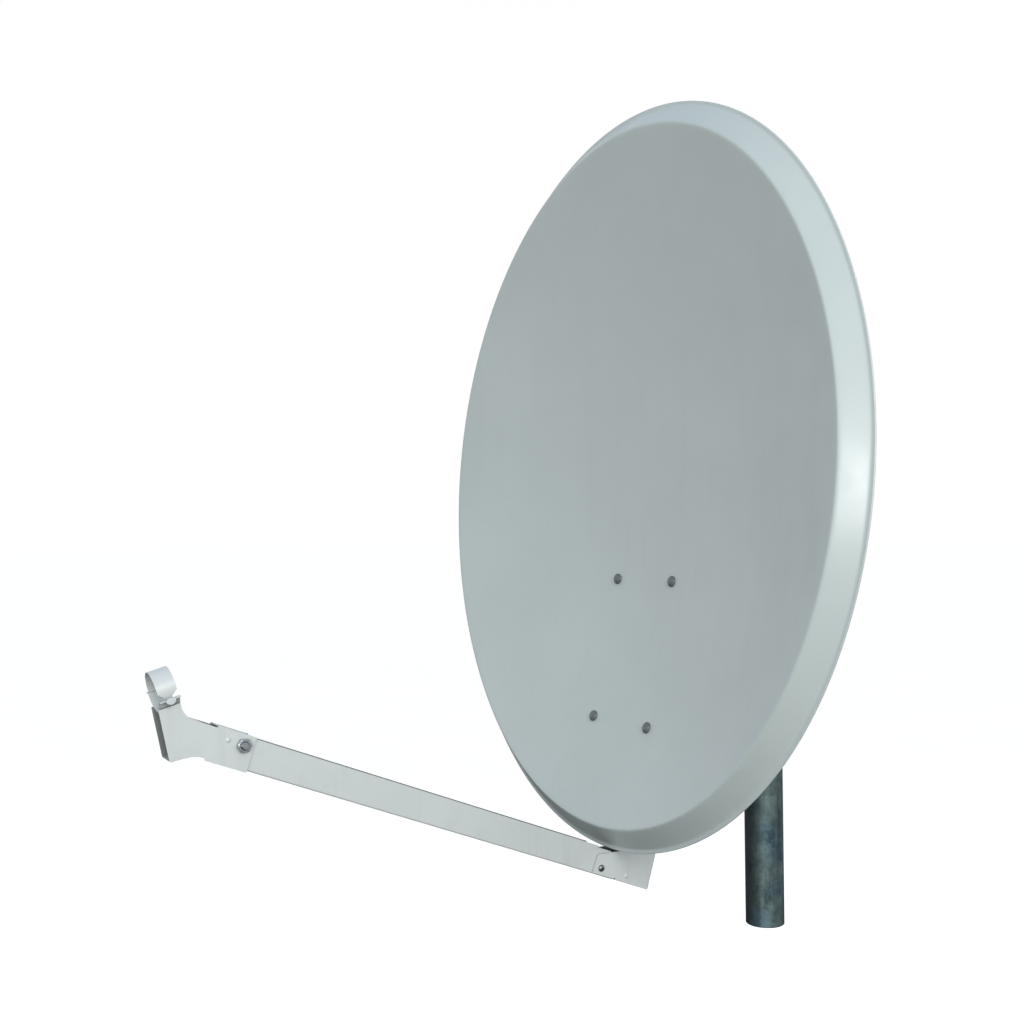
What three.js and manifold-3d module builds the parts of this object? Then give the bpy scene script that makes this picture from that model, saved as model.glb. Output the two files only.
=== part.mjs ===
// An offset satellite dish on a short galvanised mast: pressed reflector, rear frame with the
// azimuth and elevation clamp, hinged feed arm, and a strap collar for the converter's neck.
// Millimetres, +Z up; the dish looks along -Y and its width runs along X.
// The origin is the centre of the mast's lower end.
import * as THREE from "three";
import { mergeVertices } from "three/addons/utils/BufferGeometryUtils.js";
import Module from "manifold-3d";

const wasm = await Module();
wasm.setup();

// ---------------------------------------------------------------- driving dimensions
const GAP = 0.3; // between pieces that touch
const rad = THREE.MathUtils.degToRad;

// Reflector: an offset paraboloid with a conical skirt and a narrow flat lip round it.
const RIM_HALF_WIDTH = 425;
const RIM_HALF_HEIGHT = 456.6;
const RIM_INSET = 26.9; // from the rim in to the edge of the curved face
const RIM_DEPTH = 22.8; // from the face's edge back to the rim
const LIP = 4; // width of the flat lip
const SHEET = 0.9;
const FOCAL_LENGTH = 500;
const FACE_LEAN = rad(3.47); // the face's plane leans back
const FACE_Y = -250.6; // centre of the face's edge plane
const FACE_Z = 592.6;
const REFLECTOR_SEGMENTS = 56;

// Four bolts hold the reflector, its rear frame and the feed arm's bracket together.
const BOLT_HALF_SPACING = 57.7;
const BOLT_ROWS = { lower: -305.2, upper: -128.6 }; // along the face's plane, from its centre
const M6 = 3;
const M8 = 4;
const M6_NUT = [10, 5.2, M6 + 0.3]; // across the flats, height, bore's radius
const M8_NUT = [13, 6.5, M8 + 0.3];
const WASHER = 1.6;
const CLEARANCE = 0.4; // radial, round a shank
const STUB = 8.7; // how far the small bolts stand out of what they hold
const BOLT_HEAD = 6.9; // radius of the reflector's round bolt heads

// Mast and its clamp.
const MAST_RADIUS = 25.4;
const MAST_WALL = 3.2;
const MAST_TOP = 498;
const CLAMP_HEIGHTS = { lower: 356, upper: 446 };
const LEG_X = 30; // U-bolt legs
const WEB_Y = -44.6; // rear face of the mount's web
const PLATE = 3; // sheet of the frame and the mount
const MOUNT_BOTTOM = 318;
const MOUNT_TOP = 484;
const SADDLE_WIDTH = 36; // half of a clamp saddle's width
const JAW_SHEET = 2.5;
const JAW_HALF = 11.5; // the jaws' outer faces above and below a saddle's middle

// Elevation pivot, and the lock bolt on its arc below it.
const PIVOT_Y = -110;
const PIVOT_Z = 442;
const LOCK_RADIUS = 90;
const ELEVATION_DOWN = 15;
const ELEVATION_UP = 30;
const MOUNT_HALF = 41.5; // outside of the mount's cheeks
const FRAME_INNER = MOUNT_HALF + 0.8;
const FRAME_HALF = 75; // half of the base plate's width
const FRAME_ENDS = [-36, 209]; // up the base plate from the lower bolts
const FRAME_WINDOW = [42, 150];
const STAND_OFF = 8; // the base plate behind the bowl
const BASE_REAR = STAND_OFF + PLATE;
const BOSS_RADIUS = 12;

// Feed arm: a channel open at the top, hinged in the bracket under the rim.
const HINGE_Y = -270.5;
const HINGE_Z = 114;
const ARM_RISE = rad(21.5);
const ARM_TAIL = -22;
const ARM_TIP = 505;
const ARM_BOTTOM = -9.2; // below the hinge, square to the arm
const ARM_TOP = 24.4;
const ARM_HALF = 14;
const ARM_SHEET = 1.5;
const CHEEK_IN = ARM_HALF + GAP; // bracket and holder cheeks, outside the arm
const CHEEK_OUT = CHEEK_IN + ARM_SHEET;
const BRACKET_SHEET = 2; // rear wall and foot of the arm's bracket
const RIM_UNDERSIDE = 130.7; // the bracket's cheeks pass under the rim at this height
const DIMPLE = [[0, -0.5], [2.4, -0.5], [2.4, 0], [1.2, 0.9], [0, 1.1]]; // radius and height

// Collar at the arm's end, in the arm's own axes, round a 40 mm neck.
const COLLAR_ALONG = 576.5;
const COLLAR_UP = 43.5;
const COLLAR_TURN = rad(37.5); // its axis against the arm
const NECK_RADIUS = 20.3;
const STRAP_SHEET = 0.8;
const SADDLE_SHEET = 1.2;
const STRAP_HALF = 10; // half of the strap's and the saddle's lengths along the neck
const SADDLE_HALF = 10.8;
const EAR_NEAR = -8; // top faces of the saddle's two ears, from the neck's axis
const EAR_FAR = -3;
const EAR_EDGE = 26; // outer edge of the near ear
const HOOK_X = -24;
const TONGUE_HALF = 3.2; // the strap's near end narrows to this over the ear
const TAB_RADIUS = 5.2; // and turns down in front of it as a round tab
const HOLDER_BOLT = [480.5, 15]; // along and above the arm's hinge line

// ---------------------------------------------------------------- materials
function coat(color, roughness, metalness) {
  return new THREE.MeshStandardMaterial({ color, roughness, metalness });
}
const FACE_GREY = [0x9caeab, 0.5, 0.1];
const ARM_GREY = [0xc4cccb, 0.5, 0.1];
const ZINC = [0xb4b9b8, 0.35, 0.9];
const GALVANISED = [0x56676a, 0.6, 0.7];
const BLACK_PLASTIC = [0x22252a, 0.6, 0];

// ---------------------------------------------------------------- solids
// One closed solid from a geometry, its faces turned outwards.
function solidOf(geometry) {
  const bare = geometry.index ? geometry.toNonIndexed() : geometry.clone();
  bare.deleteAttribute("normal");
  bare.deleteAttribute("uv");
  const merged = mergeVertices(bare, 1e-3);
  const vertProperties = new Float32Array(merged.attributes.position.array);
  const make = (corners) => {
    const triVerts = Uint32Array.from(corners);
    return new wasm.Manifold(new wasm.Mesh({ numProp: 3, vertProperties, triVerts }));
  };
  const index = merged.index.array;
  const kept = [];
  for (let i = 0; i < index.length; i += 3) {
    const [a, b, c] = [index[i], index[i + 1], index[i + 2]];
    if (a !== b && b !== c && c !== a) kept.push(a, b, c);
  }
  const solid = make(kept);
  return solid.volume() < 0 ? make(kept.reverse()) : solid;
}

function geometryOf(solid) {
  const made = solid.getMesh();
  const corners = new Float32Array(made.numVert * 3);
  for (let i = 0; i < made.numVert; i++) {
    corners.set(made.vertProperties.subarray(i * made.numProp, i * made.numProp + 3), i * 3);
  }
  const geometry = new THREE.BufferGeometry();
  geometry.setAttribute("position", new THREE.BufferAttribute(corners, 3));
  geometry.setIndex(new THREE.BufferAttribute(made.triVerts, 1));
  geometry.computeVertexNormals();
  return geometry;
}

function add(group, name, solid, finish) {
  const mesh = new THREE.Mesh(geometryOf(solid), coat(...finish));
  mesh.name = name;
  group.add(mesh);
}

function outline(points) {
  return new THREE.Shape(points.map(([x, y]) => new THREE.Vector2(x, y)));
}

function arc(cx, cy, radius, from, to, steps) {
  return Array.from({ length: steps + 1 }, (_, i) => {
    const angle = rad(from + ((to - from) * i) / steps);
    return [cx + radius * Math.cos(angle), cy + radius * Math.sin(angle)];
  });
}

// A flat outline in X and Y, thickened along Z.
function slabXY(points, z0, z1) {
  const made = new THREE.ExtrudeGeometry(outline(points), { depth: z1 - z0, bevelEnabled: false });
  return solidOf(made.translate(0, 0, z0));
}

// An outline in Y and Z, thickened along X.
function slabYZ(points, x0, x1) {
  const made = new THREE.ExtrudeGeometry(outline(points), { depth: x1 - x0, bevelEnabled: false });
  const turn = new THREE.Matrix4().makeBasis(
    new THREE.Vector3(0, 1, 0),
    new THREE.Vector3(0, 0, 1),
    new THREE.Vector3(1, 0, 0),
  );
  return solidOf(made.applyMatrix4(turn).translate(x0, 0, 0));
}

function box([x0, x1], [y0, y1], [z0, z1]) {
  const made = new THREE.BoxGeometry(x1 - x0, y1 - y0, z1 - z0);
  return solidOf(made.translate((x0 + x1) / 2, (y0 + y1) / 2, (z0 + z1) / 2));
}

// Places a geometry made along +Z so that it starts at a point and runs along an axis.
function aim(geometry, start, axis) {
  const turn = new THREE.Quaternion().setFromUnitVectors(new THREE.Vector3(0, 0, 1), axis);
  return geometry.applyQuaternion(turn).translate(start.x, start.y, start.z);
}

// A solid of revolution; the profile lists radius and height along the axis.
function turned(profile, start, axis, segments = 16) {
  const points = profile.map(([r, h]) => new THREE.Vector2(r, h));
  const made = new THREE.LatheGeometry(points, segments).rotateX(Math.PI / 2);
  return solidOf(aim(made, start, axis));
}

// The end of a bolt's profile: down its shank to a chamfered tip.
function shank(radius, length) {
  const chamfer = 0.22 * radius;
  return [[radius, 0], [radius, length - chamfer], [radius - chamfer, length], [0, length]];
}

function rod(radius, start, axis, length, segments = 12) {
  return turned([[0, 0], [radius, 0], [radius, length], [0, length]], start, axis, segments);
}

function ringAbout(inner, outer, start, axis, height, segments = 16) {
  const profile = [[inner, 0], [outer, 0], [outer, height], [inner, height], [inner, 0]];
  return turned(profile, start, axis, segments);
}

function hexNut([acrossFlats, height, bore], start, axis) {
  const corner = acrossFlats / Math.sqrt(3);
  const shape = outline(arc(0, 0, corner, 0, 300, 5));
  shape.holes.push(outline(arc(0, 0, bore, 0, -337.5, 15)));
  return solidOf(aim(new THREE.ExtrudeGeometry(shape, { depth: height, bevelEnabled: false }), start, axis));
}

const X = new THREE.Vector3(1, 0, 0);
const sideways = (side) => new THREE.Vector3(side, 0, 0);
const at = (x, y, z) => new THREE.Vector3(x, y, z);
const SIDES = { left: -1, right: 1 };

const dish = new THREE.Group();

// ---------------------------------------------------------------- mast
function addMast() {
  const tube = ringAbout(MAST_RADIUS - MAST_WALL, MAST_RADIUS, at(0, 0, 0), at(0, 0, 1), MAST_TOP, 32);
  add(dish, "mast_tube", tube, GALVANISED);

  const bore = MAST_RADIUS - MAST_WALL - GAP;
  const top = MAST_TOP + GAP;
  const plug = [[0, top - 14], [bore - 1, top - 14], [bore, top - 12], [bore, top]];
  const crown = [[MAST_RADIUS - 0.6, top + 2.5], [MAST_RADIUS - 4, top + 4], [0, top + 4.4]];
  const profile = [...plug, [MAST_RADIUS, top], ...crown];
  add(dish, "mast_cap", turned(profile, at(0, 0, 0), at(0, 0, 1), 32), BLACK_PLASTIC);
}

// ---------------------------------------------------------------- azimuth clamp and elevation mount
const LOCK_Z = PIVOT_Z - LOCK_RADIUS;
const LEG_TIP = WEB_Y - PLATE - 12;

function mountCheek(side) {
  const nose = 17;
  const points = [
    [WEB_Y, MOUNT_BOTTOM],
    ...arc(PIVOT_Y, LOCK_Z, nose, -75, -180, 5),
    ...arc(PIVOT_Y, PIVOT_Z, nose, 180, 75, 5),
    [WEB_Y, MOUNT_TOP],
  ];
  const [a, b] = [MOUNT_HALF * side, (MOUNT_HALF - PLATE) * side].sort((p, q) => p - q);
  let cheek = slabYZ(points, a, b);
  for (const z of [PIVOT_Z, LOCK_Z]) {
    cheek = cheek.subtract(rod(M8 + CLEARANCE, at(a - 1, PIVOT_Y, z), X, b - a + 2));
  }
  return cheek.subtract(rod(15, at(a - 1, -78, 397), X, b - a + 2));
}

function addMount() {
  const web = [WEB_Y - PLATE, WEB_Y];
  let mount = box([-MOUNT_HALF, MOUNT_HALF], web, [MOUNT_BOTTOM, MOUNT_TOP]);
  mount = mount.subtract(rod(16, at(0, WEB_Y - PLATE - 1, 401), at(0, 1, 0), PLATE + 2, 24));
  for (const side of [-1, 1]) mount = mount.add(mountCheek(side));
  for (const z of Object.values(CLAMP_HEIGHTS)) {
    for (const x of [-LEG_X, LEG_X]) {
      mount = mount.subtract(rod(M8 + CLEARANCE, at(x, WEB_Y - PLATE - 1, z), at(0, 1, 0), PLATE + 2));
    }
  }
  add(dish, "mount_bracket", mount, ARM_GREY);
}

// A pressed saddle: a back strip and two jaw plates notched round the mast.
function clampSaddle(z) {
  const back = WEB_Y + GAP;
  const [half, tip] = [SADDLE_WIDTH, -14];
  let saddle = box([-half, half], [back, back + JAW_SHEET], [z - 13, z + 13]);
  const root = back + 1;
  const jaw = [
    [-half, root],
    [half, root],
    [half, tip - 8],
    [half - 5, tip],
    [5 - half, tip],
    [-half, tip - 8],
  ];
  for (const level of [-JAW_HALF, JAW_HALF - JAW_SHEET]) {
    saddle = saddle.add(slabXY(jaw, z + level, z + level + JAW_SHEET));
  }
  saddle = saddle.subtract(rod(MAST_RADIUS + GAP, at(0, 0, z - 20), at(0, 0, 1), 40, 32));
  for (const x of [-LEG_X, LEG_X]) {
    saddle = saddle.subtract(rod(M8 + CLEARANCE, at(x, back - 1, z), at(0, 1, 0), 5));
  }
  return saddle;
}

function uBolt(z) {
  const bend = arc(0, 0, LEG_X, 180, 0, 12).map(([x, y]) => at(x, y, z));
  const path = new THREE.CurvePath();
  path.add(new THREE.LineCurve3(at(-LEG_X, LEG_TIP, z), bend[0]));
  path.add(new THREE.CatmullRomCurve3(bend));
  path.add(new THREE.LineCurve3(bend[bend.length - 1], at(LEG_X, LEG_TIP, z)));
  const section = outline(arc(0, 0, M8, 0, 315, 7));
  return solidOf(new THREE.ExtrudeGeometry(section, { steps: 30, extrudePath: path, bevelEnabled: false }));
}

function addClamps() {
  for (const [level, z] of Object.entries(CLAMP_HEIGHTS)) {
    add(dish, `clamp_saddle_${level}`, clampSaddle(z), ZINC);
    add(dish, `u_bolt_${level}`, uBolt(z), ZINC);
    for (const [name, side] of Object.entries(SIDES)) {
      const start = at(side * LEG_X, WEB_Y - PLATE - GAP, z);
      add(dish, `u_bolt_nut_${level}_${name}`, hexNut(M8_NUT, start, at(0, -1, 0)), ZINC);
    }
  }
}

// A bolt through the mount's and the frame's cheeks: head inside, washer and nut outside.
function addCheekBolt(label, z) {
  for (const [name, side] of Object.entries(SIDES)) {
    const inner = (MOUNT_HALF - PLATE - GAP) * side;
    const outer = (FRAME_INNER + PLATE + GAP) * side;
    const head = [[0, -5.2], [6.4, -5.2], [7.4, -4.2], [7.4, 0]];
    const bolt = turned([...head, ...shank(M8, 23)], at(inner, PIVOT_Y, z), sideways(side));
    add(dish, `${label}_bolt_${name}`, bolt, ZINC);
    const washer = ringAbout(M8 + 0.3, 10, at(outer, PIVOT_Y, z), sideways(side), WASHER);
    add(dish, `${label}_washer_${name}`, washer, ZINC);
    const nutStart = at(outer + side * (WASHER + GAP), PIVOT_Y, z);
    add(dish, `${label}_nut_${name}`, hexNut(M8_NUT, nutStart, sideways(side)), ZINC);
  }
}

// ---------------------------------------------------------------- reflector
const FACE_A = RIM_HALF_WIDTH - RIM_INSET;
const FACE_B = RIM_HALF_HEIGHT - RIM_INSET;
const OFFSET_ANGLE = Math.acos(FACE_A / FACE_B);
const SIN_OFFSET = Math.sin(OFFSET_ANGLE);
const COS_OFFSET = Math.cos(OFFSET_ANGLE);

// From the face's own axes (across, up along its plane, back from it) to the part's.
function fromFace(x, up, back) {
  const [s, c] = [Math.sin(FACE_LEAN), Math.cos(FACE_LEAN)];
  return at(x, FACE_Y + up * s + back * c, FACE_Z + up * c - back * s);
}

function bowlDepth(x, up) {
  let sag = 0;
  for (let i = 0; i < 12; i++) {
    const y = (up + sag * SIN_OFFSET) * COS_OFFSET;
    sag = (FACE_A ** 2 - x ** 2 - y ** 2) / (4 * FOCAL_LENGTH);
  }
  return sag * COS_OFFSET;
}

// The normal of the bowl, pointing out of its back.
function bowlNormal(x, up) {
  const slopeX = bowlDepth(x + 0.5, up) - bowlDepth(x - 0.5, up);
  const slopeUp = bowlDepth(x, up + 0.5) - bowlDepth(x, up - 0.5);
  return fromFace(-slopeX, -slopeUp, 1).sub(fromFace(0, 0, 0)).normalize();
}

// The section is a lathe profile: the bowl by its sag along the dish's axis, then the skirt by how
// far out and back it lies. Each point then moves to the oval it belongs to.
function reflectorSkin() {
  const shares = [0, 0.13, 0.27, 0.4, 0.52, 0.64, 0.75, 0.85, 0.93];
  const sag = (share) => (FACE_A ** 2 / (4 * FOCAL_LENGTH)) * (1 - share ** 2);
  const bowl = shares.map((share) => [share * FACE_A, sag(share)]);
  const edge = [[-5, 0.9], [-1.4, 0.4], [1.2, 1.6], [3.4, 4]];
  const skirt = [...edge, [12, 11.5], [RIM_INSET - LIP - 1.5, RIM_DEPTH - 2.4]];
  const lip = [[RIM_INSET - LIP, RIM_DEPTH - 1.2], [RIM_INSET, RIM_DEPTH - 1]];
  const front = [...bowl, ...[...skirt, ...lip].map(([out, back]) => [FACE_A + out, back])];
  const backOf = ([r, back]) => {
    const inward = r > FACE_A ? SHEET * 0.75 : 0;
    return [Math.max(r - inward, 0), back + SHEET];
  };
  const hem = [[FACE_A + RIM_INSET, RIM_DEPTH + 0.6]];
  const behind = front.slice(0, -1).map(backOf).reverse();
  const profile = [...front, ...hem, ...behind].map(([r, back]) => new THREE.Vector2(r, back));
  const geometry = new THREE.LatheGeometry(profile, REFLECTOR_SEGMENTS);
  const position = geometry.attributes.position;
  for (let i = 0; i < position.count; i++) {
    const [px, back, pz] = [position.getX(i), position.getY(i), position.getZ(i)];
    const radius = Math.hypot(px, pz);
    const [cos, sin] = radius > 1e-6 ? [px / radius, pz / radius] : [1, 0];
    let point;
    if (radius < FACE_A - 6) {
      const up = (radius * sin) / COS_OFFSET - back * SIN_OFFSET;
      point = fromFace(radius * cos, up, back * COS_OFFSET);
    } else {
      // Out from the oval edge of the bowl, square to it.
      const out = radius - FACE_A;
      const normal = new THREE.Vector2(FACE_B * cos, FACE_A * sin).normalize();
      point = fromFace(FACE_A * cos + out * normal.x, FACE_B * sin + out * normal.y, back);
    }
    position.setXYZ(i, point.x, point.y, point.z);
  }
  return solidOf(geometry);
}

// The four bolt places: the point on the bowl's front and the direction out of its back.
const boltPlaces = Object.entries(BOLT_ROWS).flatMap(([row, up]) =>
  Object.entries(SIDES).map(([name, side]) => {
    const x = side * BOLT_HALF_SPACING;
    const axis = bowlNormal(x, up);
    return { row, label: `${row}_${name}`, front: fromFace(x, up, bowlDepth(x, up)), axis };
  }),
);

function addReflector() {
  let skinned = reflectorSkin();
  for (const { front, axis } of boltPlaces) {
    const start = front.clone().addScaledVector(axis, -10);
    skinned = skinned.subtract(rod(M6 + CLEARANCE, start, axis, 20));
  }
  add(dish, "reflector", skinned, FACE_GREY);
}

// ---------------------------------------------------------------- rear frame
// The frame's base plate stands off the bowl. A place on it is a distance up from the lower bolt
// row and a distance behind the bowl's back.
const lowerBack = fromFace(0, BOLT_ROWS.lower, bowlDepth(BOLT_HALF_SPACING, BOLT_ROWS.lower) + SHEET);
const upperBack = fromFace(0, BOLT_ROWS.upper, bowlDepth(BOLT_HALF_SPACING, BOLT_ROWS.upper) + SHEET);
const plateUp = upperBack.clone().sub(lowerBack).normalize();
const plateOut = at(0, plateUp.z, -plateUp.y);

function onPlate(up, out) {
  const point = lowerBack.clone().addScaledVector(plateUp, up).addScaledVector(plateOut, out);
  return [point.y, point.z];
}

function plateSlab([up0, up1], [out0, out1], x0, x1) {
  return slabYZ([onPlate(up0, out0), onPlate(up0, out1), onPlate(up1, out1), onPlate(up1, out0)], x0, x1);
}

function frameCheek(side) {
  const points = [
    onPlate(17, BASE_REAR - 1),
    ...arc(PIVOT_Y, PIVOT_Z, LOCK_RADIUS + 14, -110, -54, 8),
    ...arc(PIVOT_Y, PIVOT_Z, 22, -20, 100, 8),
    onPlate(FRAME_ENDS[1] - 4, BASE_REAR - 1),
  ];
  const [a, b] = [FRAME_INNER * side, (FRAME_INNER + PLATE) * side].sort((p, q) => p - q);
  let cheek = slabYZ(points, a, b);
  cheek = cheek.subtract(rod(M8 + CLEARANCE, at(a - 1, PIVOT_Y, PIVOT_Z), X, b - a + 2));
  const from = -90 - ELEVATION_DOWN;
  const to = -90 + ELEVATION_UP;
  const width = M8 + CLEARANCE;
  const end = (angle, a0) => {
    const [[y, z]] = arc(PIVOT_Y, PIVOT_Z, LOCK_RADIUS, angle, angle, 1);
    return arc(y, z, width, a0, a0 + 180, 6);
  };
  const slot = [
    ...arc(PIVOT_Y, PIVOT_Z, LOCK_RADIUS + width, from, to, 12).slice(0, -1),
    ...end(to, to),
    ...arc(PIVOT_Y, PIVOT_Z, LOCK_RADIUS - width, to, from, 12).slice(1, -1),
    ...end(from, from - 180),
  ];
  cheek = cheek.subtract(slabYZ(slot.slice(0, -1), a - 1, b + 1));
  const window = arc(PIVOT_Y - 30, PIVOT_Z - 38, 17, 0, 345, 23);
  return cheek.subtract(slabYZ(window, a - 1, b + 1));
}

function addFrame() {
  let frame = plateSlab(FRAME_ENDS, [STAND_OFF, BASE_REAR], -FRAME_HALF, FRAME_HALF);
  frame = frame.subtract(plateSlab(FRAME_WINDOW, [STAND_OFF - 1, BASE_REAR + 1], -28, 28));
  for (const side of [-1, 1]) {
    frame = frame.add(frameCheek(side));
  }
  for (const { front, axis } of boltPlaces) {
    const start = front.clone().addScaledVector(axis, SHEET + 0.6);
    frame = frame.add(rod(BOSS_RADIUS, start, axis, STAND_OFF + 0.5, 16));
  }
  for (const { front, axis } of boltPlaces) {
    frame = frame.subtract(rod(M6 + CLEARANCE, front, axis, 24));
  }
  add(dish, "rear_frame", frame, ARM_GREY);
}

function addDishBolts() {
  for (const { row, label, front, axis } of boltPlaces) {
    const reach = SHEET + BASE_REAR + (row === "lower" ? BRACKET_SHEET + GAP : 0);
    const head = [[0, -4], [3, -3.7], [5.4, -2.6], [6.8, -0.9], [BOLT_HEAD, 0]];
    const start = front.clone().addScaledVector(axis, -0.6);
    const bolt = turned([...head, ...shank(M6, reach + STUB)], start, axis);
    add(dish, `dish_bolt_${label}`, bolt, FACE_GREY);
    const nutStart = front.clone().addScaledVector(axis, reach + 0.9);
    add(dish, `dish_nut_${label}`, hexNut(M6_NUT, nutStart, axis), ZINC);
  }
}

// ---------------------------------------------------------------- feed arm bracket
// Arm axes in the side view: along the arm from the hinge, and square to it.
const FORWARD = [-Math.cos(ARM_RISE), Math.sin(ARM_RISE)];
const UPWARD = [Math.sin(ARM_RISE), Math.cos(ARM_RISE)];

function fromArm(along, up) {
  return [
    HINGE_Y + along * FORWARD[0] + up * UPWARD[0],
    HINGE_Z + along * FORWARD[1] + up * UPWARD[1],
  ];
}

function addArmBracket() {
  const points = [
    fromArm(-78, -9),
    fromArm(-24.5, -9),
    fromArm(-24.5, -6.5),
    fromArm(-22.5, -6.5),
    fromArm(-22, -8),
    fromArm(10.5, -8),
    fromArm(10.5, 14),
    [HINGE_Y + 34, RIM_UNDERSIDE],
    [HINGE_Y + 36, RIM_UNDERSIDE + 4],
    [HINGE_Y + 37, 160],
    onPlate(-20, BASE_REAR + 1.3),
    onPlate(14, BASE_REAR + 1.3),
    onPlate(13, BASE_REAR + 14),
    [-194, 270],
    [-186, 215],
    [-184, 150],
    [-188, 120],
  ];
  // The hollow is open along the bottom edge, the first six points, and the short top edge after it.
  const lift = (i) => (i < 6 ? -6 : i < 8 ? 4 : 0);
  const hollow = points.map(([y, z], i) => [y - BRACKET_SHEET, z + lift(i)]);
  let bracket = slabYZ(points, -CHEEK_OUT, CHEEK_OUT).subtract(slabYZ(hollow, -CHEEK_IN, CHEEK_IN));
  const floor = [fromArm(-76, -9), fromArm(-25, -9), fromArm(-25, -7.5), fromArm(-76, -7.5)];
  for (const [x0, x1] of [[-CHEEK_OUT, -7], [7, CHEEK_OUT]]) {
    bracket = bracket.add(slabYZ(floor, x0, x1));
  }
  const out = BASE_REAR + GAP;
  const footHalf = FRAME_HALF - 3;
  bracket = bracket.add(plateSlab([-20, 14], [out, out + BRACKET_SHEET], -footHalf, footHalf));
  for (const { row, front, axis } of boltPlaces) {
    if (row === "lower") bracket = bracket.subtract(rod(M6 + CLEARANCE, front, axis, 30));
  }
  const hole = at(-CHEEK_OUT - 1, HINGE_Y, HINGE_Z);
  bracket = bracket.subtract(rod(M6 + CLEARANCE, hole, X, 2 * CHEEK_OUT + 2));
  for (const side of [-1, 1]) {
    const [y, z] = fromArm(-39.3, -0.6);
    bracket = bracket.add(turned(DIMPLE, at(side * CHEEK_OUT, y, z), sideways(side), 16));
  }
  add(dish, "arm_bracket", bracket, ARM_GREY);

  const head = [[0, -2.2], [2.6, -2], [4, -1.2], [4.2, 0]];
  const screw = [...head, ...shank(M6, 2 * CHEEK_OUT + GAP + STUB)];
  const start = at(CHEEK_OUT + GAP, HINGE_Y, HINGE_Z);
  add(dish, "arm_screw", turned(screw, start, sideways(-1)), ZINC);
  const nutStart = at(-CHEEK_OUT - GAP, HINGE_Y, HINGE_Z);
  add(dish, "arm_screw_nut", hexNut(M6_NUT, nutStart, sideways(-1)), ZINC);
}

// ---------------------------------------------------------------- feed arm and converter holder
// Inside this group X is across, Y is square to the arm and Z runs along it from the hinge.
const arm = new THREE.Group();
arm.position.set(0, HINGE_Y, HINGE_Z);
arm.rotation.x = Math.PI / 2 - ARM_RISE;
dish.add(arm);

function addArm() {
  const [inner, floor] = [ARM_HALF - ARM_SHEET, ARM_BOTTOM + ARM_SHEET];
  const section = [
    [-ARM_HALF, ARM_BOTTOM], [ARM_HALF, ARM_BOTTOM], [ARM_HALF, ARM_TOP], [inner, ARM_TOP],
    [inner, floor], [-inner, floor], [-inner, ARM_TOP], [-ARM_HALF, ARM_TOP],
  ];
  let channel = slabXY(section, ARM_TAIL, ARM_TIP);
  // The tail is cut back so that it turns under the rim.
  const tail = [
    [22.3, 12],
    [30, 12],
    [30, ARM_TAIL - 8],
    [ARM_BOTTOM - 1, ARM_TAIL - 8],
    [ARM_BOTTOM + 0.5, ARM_TAIL],
    [20, -10.5],
    [22.3, -8],
  ];
  channel = channel.subtract(slabYZ(tail, -20, 20));
  for (const [z, y, r] of [[0, 0, M6], [HOLDER_BOLT[0], HOLDER_BOLT[1], M8]]) {
    channel = channel.subtract(rod(r + CLEARANCE, at(-20, y, z), X, 40));
  }
  add(arm, "feed_arm", channel, ARM_GREY);
}

// The collar's centre and axes in the arm's side view, as [up, along].
const [TURN_SIN, TURN_COS] = [Math.sin(COLLAR_TURN), Math.cos(COLLAR_TURN)];

function fromCollar(up, forward) {
  return [
    COLLAR_UP + up * TURN_COS - forward * TURN_SIN,
    COLLAR_ALONG + up * TURN_SIN + forward * TURN_COS,
  ];
}

const HOLDER_TOP = ARM_TOP + GAP + ARM_SHEET;
const HOLDER_BOTTOM = ARM_BOTTOM - GAP - ARM_SHEET;

// One side plate. Its edges turn in over and under the arm, along the neck's curve and under the
// foot, where the two plates' flanges all but meet.
function holderHalf(side) {
  const saddleFoot = -(NECK_RADIUS + SADDLE_SHEET + 0.2) * 0.77;
  const step = HOLDER_TOP - 2;
  const points = [
    [HOLDER_BOTTOM, 467],
    [HOLDER_TOP, 469],
    [HOLDER_TOP, 511.5],
    [step, 512.5],
    [step, 543],
    [28.4, 551.4],
    [32, 555],
    fromCollar(saddleFoot, -10.4),
    fromCollar(saddleFoot, 12.6),
    [-22.7, 546.5],
    [-16, 536],
    [-11.5, 528],
    [-9.2, 520],
    [-8.8, 514.5],
    [HOLDER_BOTTOM, 512],
  ];
  const neck = [
    [step, 525],
    [step, 543],
    [28.4, 551.4],
    [32, 555],
    [31.3, 556.6],
    [27.4, 552.6],
    [step - ARM_SHEET, 543.4],
    [step - ARM_SHEET, 525],
  ];
  const foot = [[-22.7, 546.5], [-16, 536], [-14.8, 536.6], [-20.6, 547.8]];
  const span = (a, b) => [a * side, b * side].sort((p, q) => p - q);
  const inward = span(GAP + 0.1, CHEEK_OUT);
  let half = slabYZ(points, ...span(CHEEK_IN, CHEEK_OUT));
  half = half.add(box(span(6.5, CHEEK_OUT), [HOLDER_TOP - ARM_SHEET, HOLDER_TOP], [473, 511]));
  half = half.add(box(span(8, CHEEK_OUT), [HOLDER_BOTTOM, HOLDER_BOTTOM + ARM_SHEET], [470, 511]));
  half = half.add(slabYZ(neck, ...inward)).add(slabYZ(foot, ...inward));
  half = half.subtract(rod(M8 + CLEARANCE, at(-20, HOLDER_BOLT[1], HOLDER_BOLT[0]), X, 40));
  return half.add(turned(DIMPLE, at(side * CHEEK_OUT, 15.2, 497.4), sideways(side), 16));
}

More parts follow.
